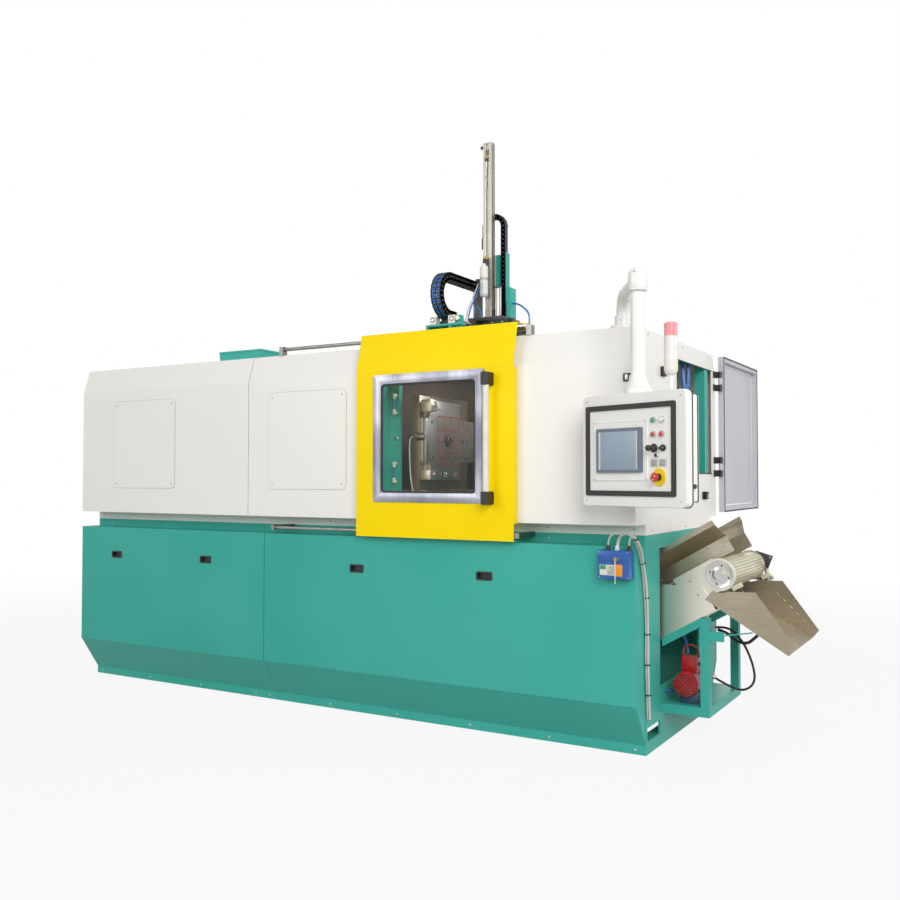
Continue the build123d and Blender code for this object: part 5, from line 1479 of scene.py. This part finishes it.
@dataclass
class Conveyor:
    """Inclined discharge conveyor: belt, guards, drum, cheeks, tank, chute, drive and frame."""

    drum: Point = (2310.0, 0.0, 886.0)
    incline: float = 30.0
    side: float = 315.0
    drive_y: Span = (331.2, 342.8)
    wheel: Point = (2365.0, 385.0, 815.0)
    rib_height: Span = (74.6, 77.6)

    @property
    def tilt(self) -> Matrix:
        """The frame at the drum's middle whose x runs up the incline."""
        return Matrix.Translation(self.drum) @ Matrix.Rotation(math.radians(-self.incline), 4, "Y")

    def build(self) -> None:
        """Dresses the conveyor's solids and builds its detailed pieces."""
        dress(WORN_STEEL, "belt_guards")
        dress(STAINLESS, "tank")
        dress(CHUTE_STEEL, "chute")
        dress(CREAM_BELT, "belt")
        dress(GROUND_STEEL, "head_drum", "tail_roller")
        dress(TEAL_ENAMEL, "conveyor_frame")
        self.fit_caps()
        self.make_drive()
        self.fit_guards()
        self.rib_belt()

    def fit_caps(self) -> None:
        """Adds bright bearing caps, their bolts, the shafts' ends and the adjusting block."""
        caps = Maker("bearing_caps", slot="machined_steel")
        x, _, z = self.drum
        for way in (-1, 1):
            outward = (0, way, 0)
            start = (x, way * (self.side + 8), z)
            disc = [(21, 0), (53.1, 0), (53.1, -2), (72, -2), (72, 0.8), (70.5, 2), (62, 2), (61, 1.4), (31, 1.4)]
            caps.stack(
                start, outward,
                (STAINLESS, [(53.1, -8), (82, -8), (82, -3), (81, -2), (53.1, -2)], 56),
                (GROUND_STEEL, [*disc, (30, 2), (21, 2)], 56),
                (GROUND_STEEL, [(0, 8), (17, 8), (20, 9.4), (20, 10.2), (8, 10.2), (7, 9), (0, 9)], 40),
            )
            for angle in around(4, math.radians(45 + self.incline)):
                spot = (x + 48 * math.cos(angle), way * (self.side + 9.2), z + 48 * math.sin(angle))
                caps.ring(ZINC, spot, outward, 7.5, 4.5, 1.4, steps=20)
                # The bolt hole is a dark disc of painted shade.
                caps.rod(RECESS_SHADE, spot, (spot[0], spot[1] + way * 0.8, spot[2]), 4.6, sides=16)
        caps.place = self.tilt
        for way in (-1, 1):
            caps.block(CREAM_BELT, (20, 74), sorted((way * 303, way * 324)), (-104, -80), edge=3)
            caps.screws(((-150, way * self.side, rise) for rise in (40, -40)), (0, way, 0))
        caps.done()

    def make_drive(self) -> None:
        """Makes the drive side: dark arm, toothed wheel lying flat, its shaft and the link."""
        drive = Maker("drive_side", slot="black_metal")
        arm = ((-20, -26), (20, -36), (90, -29), (121, 52), (31, 79), (-20, 64))
        x, _, z = self.drum
        near, far = self.drive_y
        drive.slab(BLACK_OXIDE, [(x + a, z + b) for a, b in arm], self.drive_y, edge=1.5)
        for a, b in ((-8, 50), (26, 64), (104, 44), (84, -18), (-6, -18)):
            drive.screw((x + a, far, z + b), BACK, radius=6)
            drive.screw((x + a, near, z + b), FRONT, radius=5, height=2)
        drive.turned(GROUND_STEEL, [(0, 0), (24, 0), (24, 14), (12, 16), (0, 16)], (x, far, z), BACK)
        rim = [(10, -13), (48, -13), (50, -11), (50, -3), (44, -2), (44, 2), (50, 3), (50, 11), (48, 13), (10, 13)]
        drive.turned(BLACK_OXIDE, rim, self.wheel, UP, 48)
        drive.turned(GROUND_STEEL, [(0, -15), (14, -15), (14, 15), (0, 15)], self.wheel, UP, 24)
        hub = Matrix.Translation(self.wheel)
        for angle in around(26):
            drive.place = hub @ Matrix.Rotation(angle, 4, "Z")
            drive.block(ZINC, (48, 57), (-3.4, 3.4), (-12, 12), edge=1.2)
        # The wheel's holes are dark discs of painted shade.
        for angle in around(6, math.pi / 6):
            drive.place = hub @ Matrix.Rotation(angle, 4, "Z")
            drive.rod(RECESS_SHADE, (31, 0, 12.4), (31, 0, 13.4), 7, sides=16)
        drive.place = STILL
        x, y = 2395, 343
        drive.block(GROUND_STEEL, about(x, 9.5), about(y, 12), (785, 866), edge=2)
        drive.rod(ZINC, (x, y, 866), (x, y, 812), 7, sides=16)
        for rise in range(792, 853, 10):
            drive.ring(ZINC, (x, y, rise), UP, 11, 7, 5, steps=16)
        drive.done("drive")

    def rib_belt(self) -> None:
        """Adds the belt's low cross ribs where it wraps the drum and along its carrying run."""
        ribs = Maker("belt_ribs", slot="belt_rubber")
        # The ribs' darker colour is painted shade.
        for step in range(15):
            ribs.place = self.tilt @ Matrix.Rotation(math.radians(6 + 12 * step), 4, "Y")
            ribs.block(CREAM_RIB_PAINTED_SHADE, (-2.5, 2.5), (-288, 288), self.rib_height, edge=1)
        ribs.place = self.tilt
        for step in range(22):
            ribs.block(CREAM_RIB_PAINTED_SHADE, about(-20 - 30 * step, 2.5), (-172, 172), self.rib_height, edge=1)
        ribs.done()

    def fit_guards(self) -> None:
        """Adds hems, weld beads and screws to the belt guards and the chute."""
        trim = Maker("guard_hems", slot="guard_steel", place=self.tilt)
        for way in (-1, 1):
            trim.block(WORN_STEEL, (-560, 95), sorted((way * 278, way * 283)), (255, 258.5), edge=1)
            for x in (-330, -120, 60):
                trim.screw((x, way * 188, 120), (0, -way, 0), radius=4.5, height=2)
                trim.screw((x, way * 192, 120), (0, way, 0), radius=4.5, height=2)
        trim.place = STILL
        for way in (-1, 1):
            for step in range(5):
                x, z = 2452 + 34 * step, 742 - 34 * step
                trim.rod(CHUTE_STEEL, (x, way * 314.6, z), (x + 16, way * 314.6, z - 16), 2.2, sides=10)
        trim.done()


@dataclass
class Services:
    """Pump on the conveyor's shelf, blue control box, cable bundle and small hoses."""

    pump_x: float = 2127.0
    pump_z: float = 314.0
    bundle: tuple[Point, ...] = (
        (2016, -748, 1090), (2026, -702, 1040), (2022, -640, 950), (2022, -600, 820), (2022, -580, 640),
        (2022, -588, 480), (2022, -576, 320), (2022, -566, 180),
    )

    def build(self) -> None:
        """Builds pump, control box, cables and hoses."""
        self.make_pump()
        self.fit_control_box()
        self.run_cables()
        self.run_hoses()

    def make_pump(self) -> None:
        """Makes the red motor with grille, ribs, terminal box and lifting eye, and the blue pump end."""
        pump = Maker("transfer_pump", slot="pump_red")
        x, z = self.pump_x, self.pump_z
        cowl = [(0, -315), (40, -315), (58, -313), (63, -306), (64, -298), (64, -247), (60, -245), (0, -245)]
        pump.turned(PUMP_RED, cowl, (x, 0, z), BACK, 40)
        # The grille's gaps are dark rings of painted shade.
        for radius in (14, 26, 38, 50):
            pump.ring(RECESS_SHADE, (x, -315.6, z), BACK, radius + 2.4, radius - 2.4, 1.4, steps=36)
        for angle in around(8):
            ends = ((x + out * math.cos(angle), -315.4, z + out * math.sin(angle)) for out in (12, 56))
            pump.rod(PUMP_RED, *ends, 2.2, sides=8)
        barrel = [(0, -245), (52, -245), (52, -140), (60, -138), (60, -130), (0, -130)]
        pump.turned(PUMP_RED, barrel, (x, 0, z), BACK, 40)
        for angle in around(20):
            pump.place = Matrix.Translation((x, 0, z)) @ Matrix.Rotation(angle, 4, "Y")
            pump.block(PUMP_RED, (50, 59.5), (-243, -142), (-1.8, 1.8), edge=0.8)
        pump.place = STILL
        volute = [(0, -130), (58, -130), (70, -124), (75, -112), (75, -84), (70, -70), (52, -62), (0, -60)]
        pump.turned(PUMP_BLUE, volute, (x, 0, z), BACK, 40)
        bolts = ((x + 64 * math.cos(angle), -66, z + 64 * math.sin(angle)) for angle in around(6, 0.2))
        pump.screws(bolts, BACK, height=4)
        pump.block(PUMP_BLUE, about(x, 42), (-264, -180), (208, 262), edge=5)
        pump.block(PUMP_BLUE, about(x, 42), (-120, -74), (208, 250), edge=5)
        pump.block(PUMP_RED, (x - 42, x + 43), (-243, -153), (372, 444), edge=7)
        pump.block(PUMP_RED, (x - 38, x + 39), (-239, -157), (360, 374), edge=2)
        pump.screws(product((x - 34, x + 35), (-235, -161), (443,)), UP, radius=4, height=2)
        eye = ((-40, 440), (-44, 474), (-22, 500), (18, 500), (42, 474), (40, 440))
        pump.tube(PUMP_RED, [(x + across, -198, up) for across, up in eye], 4.5)
        outlet = [(x, -62, z), (x, -36, z), (x + 4, -15, z), (x + 30, -15, z), (2182, -15, z)]
        pump.tube(PUMP_BLUE, outlet, 8)
        pump.turned(ZINC, [(0, -62), (17, -62), (17, -50), (12, -46), (0, -46)], (x, 0, z), BACK, 6)
        pump.turned(BLACK_NYLON, [(0, 0), (11, 0), (11, 6), (8, 12), (0, 12)], (x + 43, -200, 405), RIGHT, 20)
        pump.done("pump")

    def fit_control_box(self) -> None:
        """Dresses the blue box and adds its lid, screws, glands, knob and plain patches."""
        dress(BLUE_ENAMEL, "control_box")
        box = Maker("control_box_fittings", slot="blue_paint")
        front = -777.0
        box.plate(BLUE_ENAMEL, (1847, 1997), (968, 1018), (front - 2, front), corner=3, edge=0.8)
        box.screws(product((1850, 1994), (front - 1,), (893, 1014)), FRONT, radius=3.5, height=2)
        box.plate(PATCH_WHITE, (1852, 1962), (902, 952), (front - 1.2, front), corner=2, edge=0.3)
        box.plate(PATCH_GREEN, (1854, 1884), (930, 951), (front - 1.8, front - 1), edge=0.2)
        box.plate(PATCH_ORANGE, (1932, 1968), (898, 955), (front - 2, front - 1), edge=0.3)
        box.plate(GREY_LABEL, (1890, 1928), (906, 948), (front - 1.8, front - 1), edge=0.2)
        box.turned(BRASS, [(0, 0), (13, 0), (13, 6), (9, 9), (9, 18), (0, 18)], (1938, front, 981), FRONT, 24)
        box.plate(WHITE_NYLON, (1936, 1940), (862, 975), (front - 21, front - 19), corner=1.5, edge=0.4)
        gland = [(0, 0), (12, 0), (12, 8), (10, 10), (10, 18), (7, 24), (0, 24)]
        for x, finish in ((1884, BLACK_NYLON), (1930, WHITE_NYLON), (1991, BLACK_NYLON)):
            box.turned(finish, gland, (x, -746, 1022), UP, 20)
        box.done()

    def run_cables(self) -> None:
        """Runs four grey cables from the glands round the corner and ties them together."""
        cables = Maker("grey_cables", slot="cable_grey")
        starts = (
            ((1884, -746, 1040), (1884, -746, 1078), (1920, -752, 1106), (1972, -752, 1110)),
            ((1930, -746, 1040), (1930, -746, 1072), (1956, -750, 1096), (1982, -750, 1104)),
            ((1991, -746, 1040), (1992, -748, 1066), (2000, -750, 1086), (2008, -750, 1092)),
            ((1936, -744, 1040), (1938, -742, 1084), (1968, -744, 1106), (1996, -746, 1102)),
        )
        offsets = ((-5, -4), (5, -4), (5, 5), (-4, 5))
        wander = (0, 2, -2, 3, -3, 2, -2, 0)
        for number, (start, (across, deep)) in enumerate(zip(starts, offsets)):
            rest = [
                (x + across + shift * (number - 1.5) * 0.5, y + deep + shift, z)
                for (x, y, z), shift in zip(self.bundle, wander)
            ]
            cables.tube(GREY_SHEATH, [*start, *rest], 4.4)
        ties = (
            (2019, -735, 1077), (2023, -645, 955), (2022, -592, 780), (2022, -583, 600), (2022, -583, 450),
            (2022, -574, 300),
        )
        for x, y, z in ties:
            lean = (0.1, 0.35, -1) if z > 900 else (0, 0.05, -1)
            cables.turned(BLACK_NYLON, [(10.2, -3), (12.4, -3), (12.4, 3), (10.2, 3)], (x, y, z), lean, 20)
            cables.block(BLACK_NYLON, (x + 8, x + 16), about(y, 3), about(z, 4), edge=1)
        cables.done("cable_bundle")

    def run_hoses(self) -> None:
        """Adds the blue water tubes by the pump and the hose under the chute."""
        hoses = Maker("water_tubes", slot="hose_black")
        inlet = [(2104, -180, 448), (2098, -170, 520), (2050, -150, 560), (2010, -140, 560), (1998, -140, 556)]
        hoses.tube(BLUE_TUBE, inlet, 6)
        hoses.tube(BLUE_TUBE, [(2060, -230, 268), (2030, -250, 262), (2006, -290, 262), (1998, -300, 262)], 5)
        under = [(2226, -40, 566), (2280, -70, 560), (2330, -110, 530), (2400, -150, 520), (2450, -190, 560)]
        hoses.tube(BLACK_RUBBER, [*under, (2486, -200, 600), (2492, -200, 622)], 8)
        hoses.done()


def build_object() -> None:
    """Builds the machine, one sub-assembly after another."""
    LoopHose().build()
    for assembly in (Bed, Enclosure, FrontDoor, EndDoor, Cell, Picker, Pendant, Conveyor, Services):
        assembly().build()
        LOG.info("%s done", assembly.__name__)


def main() -> None:
    """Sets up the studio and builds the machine."""
    logging.basicConfig(level=logging.INFO, format="%(name)s: %(message)s")
    Studio().build()
    build_object()


if __name__ == "__main__":
    main()
